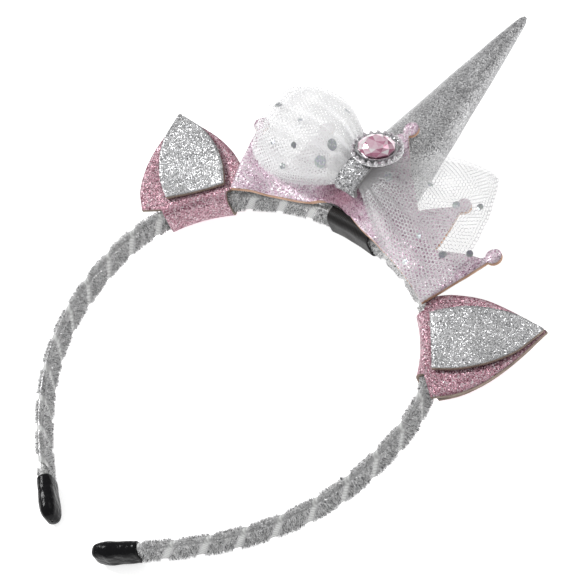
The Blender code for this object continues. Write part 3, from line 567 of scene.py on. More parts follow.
def label_look():
    """Black woven satin with its fine ribs."""
    look = Look("black satin", {"Specular IOR Level": 0.2})
    warp = look.noise(0.18 * MM)
    tone = look.blend(look.ribs(1.9 * MM, 0.3, "X"), 0.55, warp, 0.45)
    return look.finish_with({
        "Base Color": look.ramp(tone, ((0.1, (0.004, 0.004, 0.005)), (0.9, (0.024, 0.022, 0.021)))),
        "Roughness": look.remap(warp, 0.32, 0.55),
        "Normal": look.bump(tone, 0.08 * MM),
    })


def placed(points):
    """Points of the headband's own frame, in the frame of the row."""
    cos, sin = math.cos(FRAME_TILT), math.sin(FRAME_TILT)
    turn = np.array(((1.0, 0.0, 0.0), (0.0, cos, -sin), (0.0, sin, cos)))
    return np.asarray(points, float).reshape(-1, 3) @ turn.T + FRAME_SHIFT


# Centre of the painted shadow under the bow's knot, on the crown.
KNOT_SHADOW_CENTRE = tuple(placed((-5.0 * MM, BAND_HEIGHT + 1.0 * MM, 12.0 * MM))[0])
TAN_STOPS = ((0.25, (0.30, 0.15, 0.09)), (0.5, (0.62, 0.38, 0.26)), (0.8, (0.82, 0.62, 0.48)))
BROWN_STOPS = ((0.25, (0.10, 0.075, 0.06)), (0.5, (0.28, 0.21, 0.17)), (0.8, (0.50, 0.40, 0.33)))
# Tinsel colours by painted light: dark and bright bristles stand for painted reflections of the silver film.
TINSEL_REFLECTION_STOPS = (
    (0.0, (0.02, 0.02, 0.025)), (0.24, (0.22, 0.22, 0.225)), (0.46, (1.0, 1.0, 1.0)),
    (1.0, (1.0, 1.0, 1.0)),
)
FOIL_STOPS = (
    (0.0, (0.42, 0.50, 0.50)), (0.4, (0.62, 0.66, 0.62)), (0.7, (0.55, 0.53, 0.66)),
    (1.0, (0.90, 0.92, 0.92)),
)
# Colours by flake for the glitters below: the flakes' own colours and dark specks, and towards the white end
# painted highlights of flakes that catch the light.
FINE_SILVER_STOPS = (
    (0.0, (0.10, 0.10, 0.105)), (0.22, (0.34, 0.34, 0.35)), (0.6, (0.60, 0.60, 0.61)),
    (0.86, (0.80, 0.80, 0.81)), (1.0, (1.0, 1.0, 1.0)),
)
COARSE_SILVER_STOPS = (
    (0.0, (0.05, 0.05, 0.055)), (0.35, (0.26, 0.26, 0.27)), (0.75, (0.50, 0.50, 0.51)),
    (1.0, (0.95, 0.95, 0.96)),
)
PINK_STOPS = (
    (0.0, (0.13, 0.03, 0.055)), (0.25, (0.34, 0.13, 0.18)), (0.6, (0.62, 0.33, 0.41)),
    (0.88, (0.82, 0.56, 0.64)), (1.0, (0.98, 0.86, 0.90)),
)
CHUNKY_PINK_STOPS = (
    (0.0, (0.22, 0.06, 0.14)), (0.09, (0.58, 0.36, 0.49)), (0.4, (0.82, 0.64, 0.75)),
    (0.85, (0.92, 0.80, 0.87)), (1.0, (1.0, 0.96, 0.98)),
)
# Stone colours by painted light: dark and bright facets stand for painted reflections of the foil-backed
# glass.
PINK_STONE_REFLECTION_STOPS = (
    (0.0, (0.16, 0.03, 0.06)), (0.3, (0.60, 0.24, 0.36)), (0.65, (0.86, 0.56, 0.67)),
    (1.0, (1.0, 0.95, 0.97)),
)
CLEAR_STONE_REFLECTION_STOPS = (
    (0.0, (0.10, 0.09, 0.10)), (0.35, (0.50, 0.46, 0.50)), (0.7, (0.85, 0.83, 0.86)),
    (1.0, (1.0, 1.0, 1.0)),
)

FINE_SILVER = glitter_look("silver glitter leather", 0.27 * MM, FINE_SILVER_STOPS, 0.45, 0.55, 0.965)
COARSE_SILVER = glitter_look("coarse silver glitter", 0.42 * MM, COARSE_SILVER_STOPS, 0.4, 0.7, 0.93)
PINK_GLITTER = glitter_look("pink glitter leather", 0.33 * MM, PINK_STOPS, 0.25, 0.7, 0.96)
CHUNKY_PINK = glitter_look("chunky pink glitter", 0.40 * MM, CHUNKY_PINK_STOPS, 0.12, 0.45, 0.95, KNOT_SHADOW_CENTRE)
BACKING = backing_look()
CUT_EDGE = cut_edge_look("tan cut edge", TAN_STOPS)
DARK_EDGE = cut_edge_look("brown cut edge", BROWN_STOPS)
SATIN = satin_look()
TINSEL = tinsel_look()
RUBBER = rubber_look()
# One white tulle in two brightnesses: painted lighter in the left puff and painted darker in the right loop,
# as painted light and shade.
TULLE = {
    "left": tulle_look("bright white tulle", 0.93, 1.0),
    "right": tulle_look("white tulle", 0.73, 0.88),
}
FOIL = foil_look()
PINK_STONE = stone_look("pink stone", PINK_STONE_REFLECTION_STOPS)
CLEAR_STONE = stone_look("clear stone", CLEAR_STONE_REFLECTION_STOPS)
METAL = metal_look()
BLACK_SATIN = label_look()


def add_piece(name, points, faces, materials, replaces=(), smooth=True):
    """A piece of the headband, from points in the headband's own frame."""
    mesh = bpy.data.meshes.new(name)
    mesh.from_pydata(placed(points).tolist(), [], faces)
    for material in materials:
        mesh.materials.append(material)
    if smooth:
        mesh.shade_smooth()
    piece = bpy.data.objects.new(name, mesh)
    bpy.context.scene.collection.objects.link(piece)
    if replaces:
        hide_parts(*replaces)
    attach(piece, "root")
    return piece


def unit(vectors):
    return vectors / np.linalg.norm(vectors, axis=-1, keepdims=True)


def running_length(points):
    """Length of a line up to each of its points."""
    steps = np.linalg.norm(np.diff(points, axis=0), axis=1)
    return np.concatenate([[0.0], np.cumsum(steps)])


def add_leather(piece, thickness):
    """Thickness for a sheet whose materials are its face, its back and its cut edge."""
    shell = piece.modifiers.new("thickness", "SOLIDIFY")
    shell.thickness = thickness
    shell.offset = 0.0
    shell.material_offset = 1
    shell.material_offset_rim = 2
    shell.use_even_offset = True


def grid_faces(rows, columns, closed=False, flip=False):
    """Quads of a grid of points, row by row; closed joins the last column to the first."""
    faces = []
    for r in range(rows - 1):
        for c in range(columns if closed else columns - 1):
            d = (c + 1) % columns
            face = (r * columns + c, r * columns + d, (r + 1) * columns + d, (r + 1) * columns + c)
            faces.append(face[::-1] if flip else face)
    return faces


# Each face's painted light: a brightness that stands in for the reflection or shade on it.
def set_painted_light(piece, values):
    layer = piece.data.attributes.new("shade", "FLOAT", "FACE")
    layer.data.foreach_set("value", np.asarray(values, np.float32))


def smoothstep(value):
    """From 0 to 1 with a smooth start and end."""
    t = np.clip(value, 0.0, 1.0)
    return t * t * (3.0 - 2.0 * t)


def smooth_table(x, y, at):
    """A smooth curve through a short table."""
    x = np.asarray(x, float)
    y = np.asarray(y, float)
    slope = np.gradient(y, x)
    i = np.clip(np.searchsorted(x, at, side="right") - 1, 0, len(x) - 2)
    width = x[i + 1] - x[i]
    t = (at - x[i]) / width
    low = (1 + 2 * t) * (1 - t) ** 2 * y[i] + t * (1 - t) ** 2 * width * slope[i]
    high = t**2 * (3 - 2 * t) * y[i + 1] + t**2 * (t - 1) * width * slope[i + 1]
    return low + high


def ripple(x, y, size, phase=0.0):
    """A smooth uneven wave between -1 and 1, for slack in cloth and leather."""
    a = np.sin(2 * math.pi * (x + 0.6 * y) / size + phase)
    b = np.sin(2 * math.pi * (0.7 * x - y) / (1.37 * size) + 1.9 + 2.3 * phase)
    c = np.sin(2 * math.pi * (0.2 * x + y) / (0.61 * size) + 0.7 - phase)
    return (a + b + 0.5 * c) / 2.5


def smooth_rows(rows, key, at):
    """A smooth curve through one column of a table, by the table's first column."""
    return smooth_table([row[0] for row in rows], [getattr(row, key) for row in rows], at)


def bezier(points, t):
    """Points of a cubic curve, at shares of its run."""
    a, b, c, d = (np.array(point) for point in points)
    t = t[..., None]
    return (1 - t) ** 3 * a + 3 * (1 - t) ** 2 * t * b + 3 * (1 - t) * t**2 * c + t**3 * d


class BandLine:
    """The strip's centre line by arc length from its top, positive along the right leg."""

    def __init__(self):
        half = BAND_SPREAD / 2
        rise = BAND_HEIGHT - BAND_WIDEST_HEIGHT
        tip = TIP_DISTANCE / 2
        share = np.linspace(0.0, 1.0, LINE_STEPS)
        shoulder = bezier((
            (0.0, BAND_HEIGHT), (TOP_HANDLE * half, BAND_HEIGHT),
            (half, BAND_WIDEST_HEIGHT + SHOULDER_HANDLE * rise), (half, BAND_WIDEST_HEIGHT),
        ), share)
        leg = bezier((
            (half, BAND_WIDEST_HEIGHT), (half, BAND_WIDEST_HEIGHT * (1 - SIDE_HANDLE)),
            (tip + TIP_HANDLE * half * math.sin(TIP_SLANT), TIP_HANDLE * half * math.cos(TIP_SLANT)),
            (tip, 0.0),
        ), share)
        right = np.vstack([shoulder, leg[1:]])
        left = right[:0:-1] * (-1.0, 1.0)
        self.points = np.vstack([left, right])
        along = running_length(self.points)
        self.half_length = along[-1] / 2
        self.strip_end = self.half_length - STRIP_END_TRIM
        self.along = along - self.half_length

    def on_line(self, s):
        x = np.interp(s, self.along, self.points[:, 0])
        y = np.interp(s, self.along, self.points[:, 1])
        return np.stack([x, y], axis=-1)

    def tangent(self, s):
        reach = 1.5 * MM
        low = np.maximum(s - reach, -self.half_length)
        high = np.minimum(s + reach, self.half_length)
        return unit(self.on_line(high) - self.on_line(low))

    def place(self, s, out, front):
        """Points beside the line: out from the head, and towards the headband's front."""
        s, out, front = np.broadcast_arrays(*(np.asarray(v, float) for v in (s, out, front)))
        inside = np.clip(s, -self.half_length, self.half_length)
        tangent = self.tangent(inside)
        outward = np.stack([-tangent[..., 1], tangent[..., 0]], axis=-1)
        flat = self.on_line(inside) + tangent * (s - inside)[..., None] + outward * out[..., None]
        return np.concatenate([flat, front[..., None]], axis=-1)


band_line = BandLine()


def rounded_ring(half_out, half_front, corner):
    """A rounded rectangle in the strip's section, as arrays of out and front."""
    out = []
    front = []
    corners = ((1, 1, 0.0), (-1, 1, 0.5), (-1, -1, 1.0), (1, -1, 1.5))
    for out_side, front_side, quarter in corners:
        for k in range(CAP_ARC_STEPS + 1):
            angle = math.pi * (quarter + 0.5 * k / CAP_ARC_STEPS)
            out.append(out_side * (half_out - corner) + corner * math.cos(angle))
            front.append(front_side * (half_front - corner) + corner * math.sin(angle))
    return np.array(out), np.array(front)


def build_end_cap(side, node):
    """A dipped rubber sleeve: rounded end, faint lumps, a rolled open edge."""
    tip = band_line.strip_end + CAP_END_WALL
    along = np.concatenate([
        (0.0, 0.004, 0.01, 0.02), np.linspace(0.035, 0.14, 8), np.linspace(0.17, 0.94, 26), (0.97, 0.99, 1.0),
    ])
    thickness = smooth_rows(CAP_RINGS, "thickness", along)
    width = smooth_rows(CAP_RINGS, "width", along)
    rings = []
    for a, t, w in zip(along, thickness, width):
        half_out = CAP_THICKNESS / 2 * t
        corner = min(CAP_CORNER, 0.96 * half_out)
        out, front = rounded_ring(half_out, CAP_WIDTH / 2 * w, corner)
        swell = 1.0 + CAP_LUMP * math.sin(17 * a + side) * smoothstep(8 * a)
        rings.append(band_line.place(side * (tip - CAP_LENGTH * a), out * swell, front))
    mouth = tip - CAP_LENGTH
    half_out = STRIP_THICKNESS / 2 + CAP_BORE_CLEARANCE
    out, front = rounded_ring(half_out, STRIP_WIDTH / 2 + SEAT_GAP, 0.5 * half_out)
    for depth in (0.0, 1.0 * MM, 3.0 * MM):
        rings.append(band_line.place(side * (mouth + depth), out, front))
    columns = len(rings[0])
    faces = grid_faces(len(rings), columns, closed=True, flip=side > 0)
    end = tuple(range(columns))
    faces.append(end if side < 0 else end[::-1])
    add_piece(node + "_rubber", rings, faces, [RUBBER], [node])


def wound_place(share, lift):
    """Where a share of a turn round the strip lies: out, front, and the way that it faces.

    A turn starts at the back of the outer face and goes over the back. Lift is a share of the tape's
    thickness.
    """
    radius = STRIP_THICKNESS / 2 + WOUND_GAP + lift * TAPE_THICKNESS
    straight = STRIP_WIDTH - STRIP_THICKNESS
    bend = math.pi * radius
    length = share * (2 * straight + 2 * bend)
    turn_one = np.clip(length / bend, 0.0, 1.0)
    run_one = np.clip((length - bend) / straight, 0.0, 1.0)
    turn_two = np.clip((length - bend - straight) / bend, 0.0, 1.0)
    run_two = np.clip((length - 2 * bend - straight) / straight, 0.0, 1.0)
    angle = math.pi * (turn_one + turn_two)
    front = -straight / 2 + straight * run_one - straight * run_two - radius * np.sin(angle)
    return radius * np.cos(angle), front, np.cos(angle), -np.sin(angle)


def tape_limits():
    """How far from the top the tape reaches, where it starts, and its number of turns."""
    limit = band_line.strip_end - CAP_LENGTH + CAP_END_WALL - SEAT_GAP
    first = -limit - TAPE_WIDTH + TAPE_START_SHIFT
    turns = int((2 * limit + TAPE_WIDTH) / TAPE_PITCH) + 2
    return limit, first, turns


def wound_rows(turns, shift, width, lift, steps, columns, least):
    """Rows of points across a tape that is wound round the strip and cut off at the caps."""
    limit, first, _ = tape_limits()
    share = np.linspace(0.0, 1.0, steps, endpoint=False)
    out, front, _, _ = wound_place(share, lift)
    rows = []
    for turn in turns:
        for o, f, part in zip(out, front, share):
            low = first + (turn + part) * TAPE_PITCH + shift
            low, high = np.clip((low, low + width), -limit, limit)
            if high - low >= least:
                rows.append(band_line.place(np.linspace(low, high, columns), o, f))
    return rows


def build_tinsel():
    """A helix of tape with its bristles."""
    limit, first, turns = tape_limits()
    rows = wound_rows(range(turns), 0.0, TAPE_WIDTH, TAPE_LIFT, TAPE_STEPS_A_TURN, 4, 0.3 * MM)
    tape = np.array(rows)
    tape_faces = grid_faces(len(rows), 4)

    row = rng.integers(0, turns * BRISTLE_ROWS, BRISTLES)
    scatter = rng.normal(0.5, BRISTLE_ROW_SCATTER, BRISTLES)
    progress = np.clip((row + scatter) / BRISTLE_ROWS, 0.0, turns)
    part = np.concatenate([progress % 1.0, rng.uniform(0.0, 1.0, END_BRISTLES)])
    out, front, face_out, face_front = wound_place(part, TAPE_LIFT)
    s = first + progress * TAPE_PITCH + rng.uniform(BRISTLE_MARGIN, TAPE_WIDTH - BRISTLE_MARGIN, BRISTLES)
    s = np.concatenate([s, -limit + rng.uniform(0.0, END_FUZZ, END_BRISTLES)])
    kept = np.abs(s) < limit
    s, out, front, face_out, face_front = (v[kept] for v in (s, out, front, face_out, face_front))
    count = len(s)
    root = band_line.place(s, out, front)
    normal = (band_line.place(s, out + face_out * MM, front + face_front * MM) - root) / MM
    along = np.concatenate([band_line.tangent(s), np.zeros((count, 1))], axis=1)
    angle = rng.uniform(0.0, 2 * math.pi, count)[:, None]
    flat = np.cos(angle) * along + np.sin(angle) * np.cross(normal, along)
    spread = BRISTLE_SPREAD * np.sqrt(rng.uniform(0.0, 1.0, count))[:, None]
    lean = unit(normal + flat * spread)
    tip = root + lean * rng.uniform(*BRISTLE_LENGTH, count)[:, None]
    width = rng.uniform(*BRISTLE_WIDTH, count)[:, None]
    half = unit(np.cross(lean, rng.normal(size=(count, 3)))) * width / 2
    tip_half = half * 2 * BRISTLE_TIP_SHARE
    quads = np.stack([root - half, root + half, tip + tip_half, tip - tip_half], axis=1)
    bristle_faces = (np.arange(count * 4).reshape(-1, 4) + len(rows) * 4).tolist()
    points = np.concatenate([tape.reshape(-1, 3), quads.reshape(-1, 3)])
    faces = tape_faces + [tuple(f) for f in bristle_faces]
    piece = add_piece("tinsel_pile", points, faces, [TINSEL], ["tinsel_wrap"], smooth=False)
    # Painted reflection of each bristle, and painted shade of the tape under them.
    tone = rng.beta(0.9, 0.75, count)
    set_painted_light(piece, np.concatenate([np.full(len(tape_faces), TAPE_PAINTED_SHADE), tone]))


def build_satin_ribbon():
    """The satin ribbon wound under the tinsel, seen as a pale stripe between its turns."""
    turns = tape_limits()[2]
    shift = TAPE_WIDTH - RIBBON_OVERLAP
    width = TAPE_PITCH - TAPE_WIDTH + 2 * RIBBON_OVERLAP
    rows = wound_rows(range(-1, turns), shift, width, RIBBON_LIFT, RIBBON_STEPS_A_TURN, 5, 0.1 * MM)
    add_piece("satin_ribbon", rows, grid_faces(len(rows), 5), [SATIN])


class Ear:
    """One ear's places, made on the right and turned over for the left."""

    def __init__(self, place):
        self.side = place.side
        self.leaf_shift = place.leaf_shift
        self.base = band_line.on_line(np.array(EAR_STATION))
        self.along = band_line.tangent(np.array(EAR_STATION))
        self.outward = np.array([-self.along[1], self.along[0]])

    def leaf(self, along, out, front):
        """Points of a flat leaf: along the band, out from it, and towards the front."""
        along, out, front = np.broadcast_arrays(along, out, front)
        flat = self.base + along[..., None] * self.along + out[..., None] * self.outward
        return np.stack([self.side * flat[..., 0], flat[..., 1], front], axis=-1)

    def wound(self, along, out, front):
        """Points that follow the band's curve."""
        points = band_line.place(EAR_STATION + along, out, front)
        points[..., 0] *= self.side
        return points


def ear_axis(height_share):
    """Where a leaf's middle lies along the band, at a share of its height."""
    return EAR_AXIS_SHIFT + (EAR_APEX_SHIFT - EAR_AXIS_SHIFT) * height_share


def ear_front_at(out):
    """Depth of the front leaf, which lies on the band and lifts a little."""
    return EAR_FRONT + EAR_APEX_LIFT * np.maximum(out, 0.0) / EAR_LENGTH


def ear_back_at(out):
    """Depth of the back leaf, which comes forward to meet the front one at the apex."""
    apex = EAR_FRONT + EAR_APEX_LIFT - EAR_LEATHER - SEAT_GAP
    share = np.maximum(out, 0.0) / EAR_LENGTH
    return -EAR_FRONT + (apex + EAR_FRONT) * share**1.15


def outer_leaf(ear, front_at, width_share, shift):
    """Rows of points of one leaf, from its apex down to the band."""
    height = np.linspace(1.0, OUTER_LEAF[0].height, 34)
    half = smooth_rows(OUTER_LEAF, "half_width", height)
    share = np.linspace(-1.0, 1.0, EAR_COLUMNS)
    grid = []
    for h, w in zip(height, half):
        along = ear_axis(h) + shift * (1.0 - 0.5 * h) + share * w * EAR_HALF_WIDTH * width_share
        out = h * EAR_LENGTH - EAR_CORNER_DROOP * share**2 * (1.0 - h) ** 4
        wave = EAR_WAVE * ripple(along, out, EAR_WAVE_LENGTH, ear.side) * smoothstep(3 * (1 - h))
        grid.append(ear.leaf(along, out, front_at(out) + wave))
    return grid


def build_outer_ear(place):
    """Front leaf, strap round the inside of the band, back leaf: one folded piece."""
    ear = Ear(place)
    share = np.linspace(-1.0, 1.0, EAR_COLUMNS)
    angle = math.pi / 18 * np.arange(10)
    bend = list(zip(-EAR_INSIDE * np.sin(angle), EAR_FRONT - EAR_INSIDE + EAR_INSIDE * np.cos(angle)))
    run = [(-EAR_INSIDE, front) for front in np.linspace(bend[-1][1], -bend[-1][1], 9)[1:-1]]
    section = bend + run + [(out, -front) for out, front in reversed(bend)]
    along = ear_axis(0.0) + share * EAR_STRAP_HALF_WIDTH
    strap = [ear.wound(along, out, front) for out, front in section]
    front_leaf = outer_leaf(ear, ear_front_at, 1.0, ear.leaf_shift)
    back_leaf = outer_leaf(ear, ear_back_at, EAR_BACK_SHARE, 0.0)
    grid = front_leaf + strap + back_leaf[::-1]
    name = "ear_outer_" + place.name
    faces = grid_faces(len(grid), EAR_COLUMNS, flip=place.side > 0)
    materials = [PINK_GLITTER, BACKING, DARK_EDGE]
    piece = add_piece(name + "_leather", grid, faces, materials, [name])
    add_leather(piece, EAR_LEATHER)


def build_inner_ear(place):
    """The silver leaf that is glued on the ear's front."""
    ear = Ear(place)
    lift = EAR_LEATHER + SEAT_GAP
    share = np.linspace(-1.0, 1.0, 23)
    height = np.linspace(1.0, 0.0, 34)
    half = smooth_rows(INNER_LEAF, "half_width", height)
    grid = []
    for h, w in zip(height, half):
        out = EAR_LEAF_BASE + h * (INNER_EAR_LENGTH - EAR_LEAF_BASE)
        centre = ear_axis(h) - EAR_AXIS_SHIFT * (1 - h) + ear.leaf_shift * (1.0 - 0.5 * h)
        along = centre + share * w * INNER_EAR_HALF_WIDTH
        wave = EAR_WAVE * ripple(along, out, EAR_WAVE_LENGTH, ear.side)
        curl = INNER_EAR_CURL * share**2 * smoothstep(1 - h)
        front = ear_front_at(out) + lift + np.maximum(wave + curl, 0.0)
        grid.append(ear.leaf(along, out, front))
    name = "ear_inner_" + place.name
    faces = grid_faces(len(grid), len(share), flip=place.side > 0)
    materials = [FINE_SILVER, BACKING, DARK_EDGE]
    piece = add_piece(name + "_leather", grid, faces, materials, [name])
    add_leather(piece, EAR_LEATHER)


def crown_front(s, height):
    """Depth of the crown's middle surface: flat on the band, pushed out by the horn behind it."""
    base = WOUND_HALF_WIDTH + SEAT_GAP + CROWN_LEATHER / 2
    over_ear = CROWN_OVER_EAR * smoothstep((np.abs(s) - CROWN_END_START) / (0.2 * CROWN_HALF_LENGTH))
    hump = np.exp(-(((s - HORN_FOOT_SHIFT / 2) / CROWN_BULGE_HALF_WIDTH) ** 2))
    rise = CROWN_BULGE_RISE * smoothstep((height + CROWN_BULGE_START) / CROWN_BULGE_CLIMB)
    rise = rise + CROWN_BULGE_SLOPE * np.maximum(height, 0.0)
    inside_label = np.minimum(s - LABEL_START, LABEL_END - s) / LABEL_RAMP
    over_label = (LABEL_THICKNESS + SEAT_GAP) * smoothstep(inside_label + LABEL_RAMP_SHIFT)
    return base + over_ear + np.maximum(hump * rise, over_label)


def crown_columns():
    """The crown's columns from one end to the other, close together."""
    right = []
    for a, b in zip(CROWN_COLUMNS, CROWN_COLUMNS[1:]):
        cells = max(2, round((b.hem - a.hem) * CROWN_HALF_LENGTH / CROWN_CELL))
        for k in range(cells):
            t = k / cells
            right.append([p + (q - p) * t for p, q in zip(a, b)])
    right.append(list(CROWN_COLUMNS[-1]))
    left = [[-c[0], -c[1], c[2]] for c in reversed(right)]
    first = CROWN_COLUMNS[0]
    middle = [[share * first.hem, share * first.top, first.height] for share in (-0.5, 0.0, 0.5)]
    return np.array(left + middle + right)


def build_crown():
    """A strip with five points, each ending in a round ball, cut from one sheet."""
    columns = crown_columns()
    hem = columns[:, 0] * CROWN_HALF_LENGTH
    top = columns[:, 1] * CROWN_HALF_LENGTH
    front_share = np.maximum(0.0, 1.0 - np.abs(columns[:, 1]) / CROWN_COLUMNS[2].top)
    peak = CROWN_POINT_HEIGHT + (CROWN_FRONT_POINT_HEIGHT - CROWN_POINT_HEIGHT) * front_share
    arch = np.exp(-(((hem - CROWN_HEM_ARCH_PLACE) / CROWN_HEM_ARCH_HALF_WIDTH) ** 2))
    low = -CROWN_HEM_DROP + CROWN_HEM_END_RISE * columns[:, 0] ** 4 + CROWN_HEM_ARCH * arch
    high = columns[:, 2] * peak
    share = (np.linspace(0.0, 1.0, CROWN_ROWS + 1) ** CROWN_ROW_SPACING)[:, None]
    s = hem + (top - hem) * share
    height = low + (high - low) * share
    points = [band_line.place(s, height, crown_depth(s, height)).reshape(-1, 3)]
    count = len(columns)
    faces = grid_faces(CROWN_ROWS + 1, count, flip=False)
    total = (CROWN_ROWS + 1) * count
    last_row = CROWN_ROWS * count
    for left, right, centre_height in crown_ball_edges(columns):
        edge = list(range(last_row + left, last_row + right + 1))
        centre_s = (top[left] + top[right]) / 2
        stretch = BAND_TOP_RADIUS / (BAND_TOP_RADIUS + centre_height)
        for quarter in np.linspace(CROWN_BALL_START, CROWN_BALL_END, CROWN_BALL_ROWS):
            angle = quarter * math.pi / 2
            half = CROWN_BALL_RADIUS * math.cos(angle) * stretch
            ball_height = centre_height + CROWN_BALL_RADIUS * math.sin(angle)
            ball_s = centre_s + half * np.linspace(-1.0, 1.0, len(edge))
            points.append(band_line.place(ball_s, ball_height, crown_depth(ball_s, ball_height)))
            row = list(range(total, total + len(edge)))
            total += len(edge)
            faces += [(edge[k], edge[k + 1], row[k + 1], row[k]) for k in range(len(edge) - 1)]
            edge = row
    materials = [CHUNKY_PINK, BACKING, CUT_EDGE]
    piece = add_piece("crown_leather", np.concatenate(points), faces, materials, ["crown"])
    add_leather(piece, CROWN_LEATHER)


def crown_depth(s, height):
    """The crown's depth with its slight waviness, kept off the band and the horn behind it."""
    slack = CROWN_SLACK * (1.0 + ripple(s, height, CROWN_SLACK_LENGTH, 0.4)) * smoothstep(height / (6 * MM))
    return crown_front(s, height) + slack


def crown_ball_edges(columns):
    """First and last column of each point's cut top, and the height of its ball."""

    def column_at(top):
        return int(np.argmin(np.abs(columns[:, 1] - top)))

    half = CROWN_COLUMNS[0].top
    found = [(column_at(-half), column_at(half), CROWN_FRONT_POINT_HEIGHT)]
    for a, height in ((3, CROWN_POINT_HEIGHT), (6, CROWN_END_POINT_HEIGHT)):
        near, far = CROWN_COLUMNS[a].top, CROWN_COLUMNS[a + 1].top
        found += [(column_at(near), column_at(far), height), (column_at(-far), column_at(-near), height)]
    return found


def build_horn():
    """A stuffed cone of glitter leather with its seam behind and slight dents."""
    foot = BAND_HEIGHT + WOUND_HALF_THICKNESS + SEAT_GAP + math.sin(HORN_LEAN) * HORN_RADIUS
    table = list(zip(*HORN_RINGS))
    height = np.concatenate([(0.0, 0.012), np.linspace(0.03, 0.985, HORN_STEPS), (0.993, 1.0)])
    radius = np.interp(height, table[0], table[1]) * HORN_RADIUS
    depth = np.interp(height, table[0], table[2]) * HORN_DEPTH_RADIUS
    angle = np.linspace(0.0, 2 * math.pi, HORN_SIDES, endpoint=False)
    seam = 1.0 + HORN_SEAM * np.exp(-(((angle - HORN_SEAM_ANGLE) / HORN_SEAM_HALF_ANGLE) ** 2))
    rings = []
    for h, r, d in zip(height, radius, depth):
        up = h * HORN_LENGTH
        dent = 1.0 - HORN_DENT * (1 + ripple(up, HORN_DENT_TURN * np.sin(angle), HORN_DENT_LENGTH, 0.9))
        across = np.cos(angle) * r * dent
        x = across * math.cos(HORN_LEAN) - up * math.sin(HORN_LEAN)
        y = up * math.cos(HORN_LEAN) + across * math.sin(HORN_LEAN)
        z = np.sin(angle) * d * dent * seam
        rings.append(np.stack([HORN_FOOT_SHIFT + x, foot + y, z], axis=-1))
    faces = grid_faces(len(rings), HORN_SIDES, closed=True)
    last = (len(rings) - 1) * HORN_SIDES
    faces.append(tuple(range(HORN_SIDES))[::-1])
    faces.append(tuple(range(last, last + HORN_SIDES)))
    piece = add_piece("horn_leather", rings, faces, [FINE_SILVER], ["horn"])


def crown_cover(x, y):
    """Depth at which tulle lies on the crown's face, beside the point x, y."""
    centre_y = BAND_HEIGHT - BAND_TOP_RADIUS
    s = BAND_TOP_RADIUS * np.arctan2(x, y - centre_y)
    height = np.hypot(x, y - centre_y) - BAND_TOP_RADIUS
    return crown_front(s, height) + CROWN_LEATHER / 2 + SEAT_GAP + TULLE_WALL / 2


def edge_curve(points, t):
    """A loop's long edge; its points are in millimetres, their heights above the band's line."""
    return bezier([(x * MM, BAND_HEIGHT + height * MM) for x, height in points], t)


def loop_point(loop, turn, across, gather=1.0, ply=0):
    """Points of the tulle loop: turn runs out along its front and back along its rear.

    Ply 0 is the outermost of its layers.
    """
    turn, across = np.broadcast_arrays(np.asarray(turn, float), np.asarray(across, float))
    wave = np.sin(math.pi * turn)
    reach = wave**2 * (1.0 - PLY_REACH_LOSS * ply)
    upper = edge_curve(loop.top, reach)
    lower = edge_curve(loop.bottom, reach)
    flat = lower + (upper - lower) * ((across + 1) / 2)[..., None]
    x = flat[..., 0] + loop.swell * reach**2 * (1 - across**2)
    y = flat[..., 1]
    out = smoothstep(1.4 * reach - 0.1)
    middle = BOW_NECK_FRONT + (loop.rear + loop.depth / 2 - BOW_NECK_FRONT) * out
    middle = middle - loop.edge_drop * reach * across**2
    swell = loop.depth / 2 * np.sin(2 * math.pi * turn) * wave**0.6 * (1 - loop.edge_loss * across**2)
    swell = swell * smoothstep((reach - 0.06) / 0.25)
    neck = BOW_NECK_DEPTH / 2 * np.where(turn < 0.5, 1, -1) * (1 - reach) ** 2
    fade = smoothstep((reach - 0.10) / 0.15) * (1.0 - 0.6 * reach)
    pleat = loop.pleat_depth * fade * np.cos(math.pi * loop.pleats * across + 2 * turn + 0.9 * ply)
    fine = NET_PLEAT * fade * np.cos(math.pi * (2.3 * loop.pleats) * across + 1.0 + 5 * turn)
    slack = NET_SLACK * reach * ripple(x, y, NET_SLACK_LENGTH, turn.mean())
    floor = crown_cover(x, y) + np.where(turn < 0.5, TULLE_WALL + SEAT_GAP, 0.0) * (1 - reach)
    floor = floor + PLY_GAP * (loop.plies - 1 - ply)
    swell = swell * (1.0 - PLY_SWELL_LOSS * ply)
    depth = np.maximum(middle + swell + neck + pleat + gather * (fine + slack), floor)
    return np.stack([x, y, depth], axis=-1)


def honeycomb(columns, rows):
    """Corners of a honeycomb over the unit square, and each cell's six corners."""
    cell_x = np.arange(columns)
    cell_y = np.arange(rows)
    i, j = (v.ravel() for v in np.meshgrid(cell_x, cell_y, indexing="ij"))
    x = 2 * i + j % 2
    y = 3 * j
    corners_x = np.stack([x + 1, x + 2, x + 2, x + 1, x, x], axis=1)
    corners_y = np.stack([y, y + 1, y + 3, y + 4, y + 3, y + 1], axis=1)
    wide = 2 * columns + 1
    keys = corners_y * (wide + 1) + corners_x
    unique, index = np.unique(keys, return_inverse=True)
    u = np.minimum((unique % (wide + 1)) / (2 * columns), 1.0)
    v = np.minimum((unique // (wide + 1)) / (3 * rows), 1.0)
    return u, v, index.reshape(keys.shape)


def loop_turns(loop):
    """Turn by share of the loop's length, so that the net's rows are evenly spaced."""
    turn = np.linspace(0.02, 0.98, LINE_STEPS)
    return turn, running_length(loop_point(loop, turn, 0.0, gather=0.0))


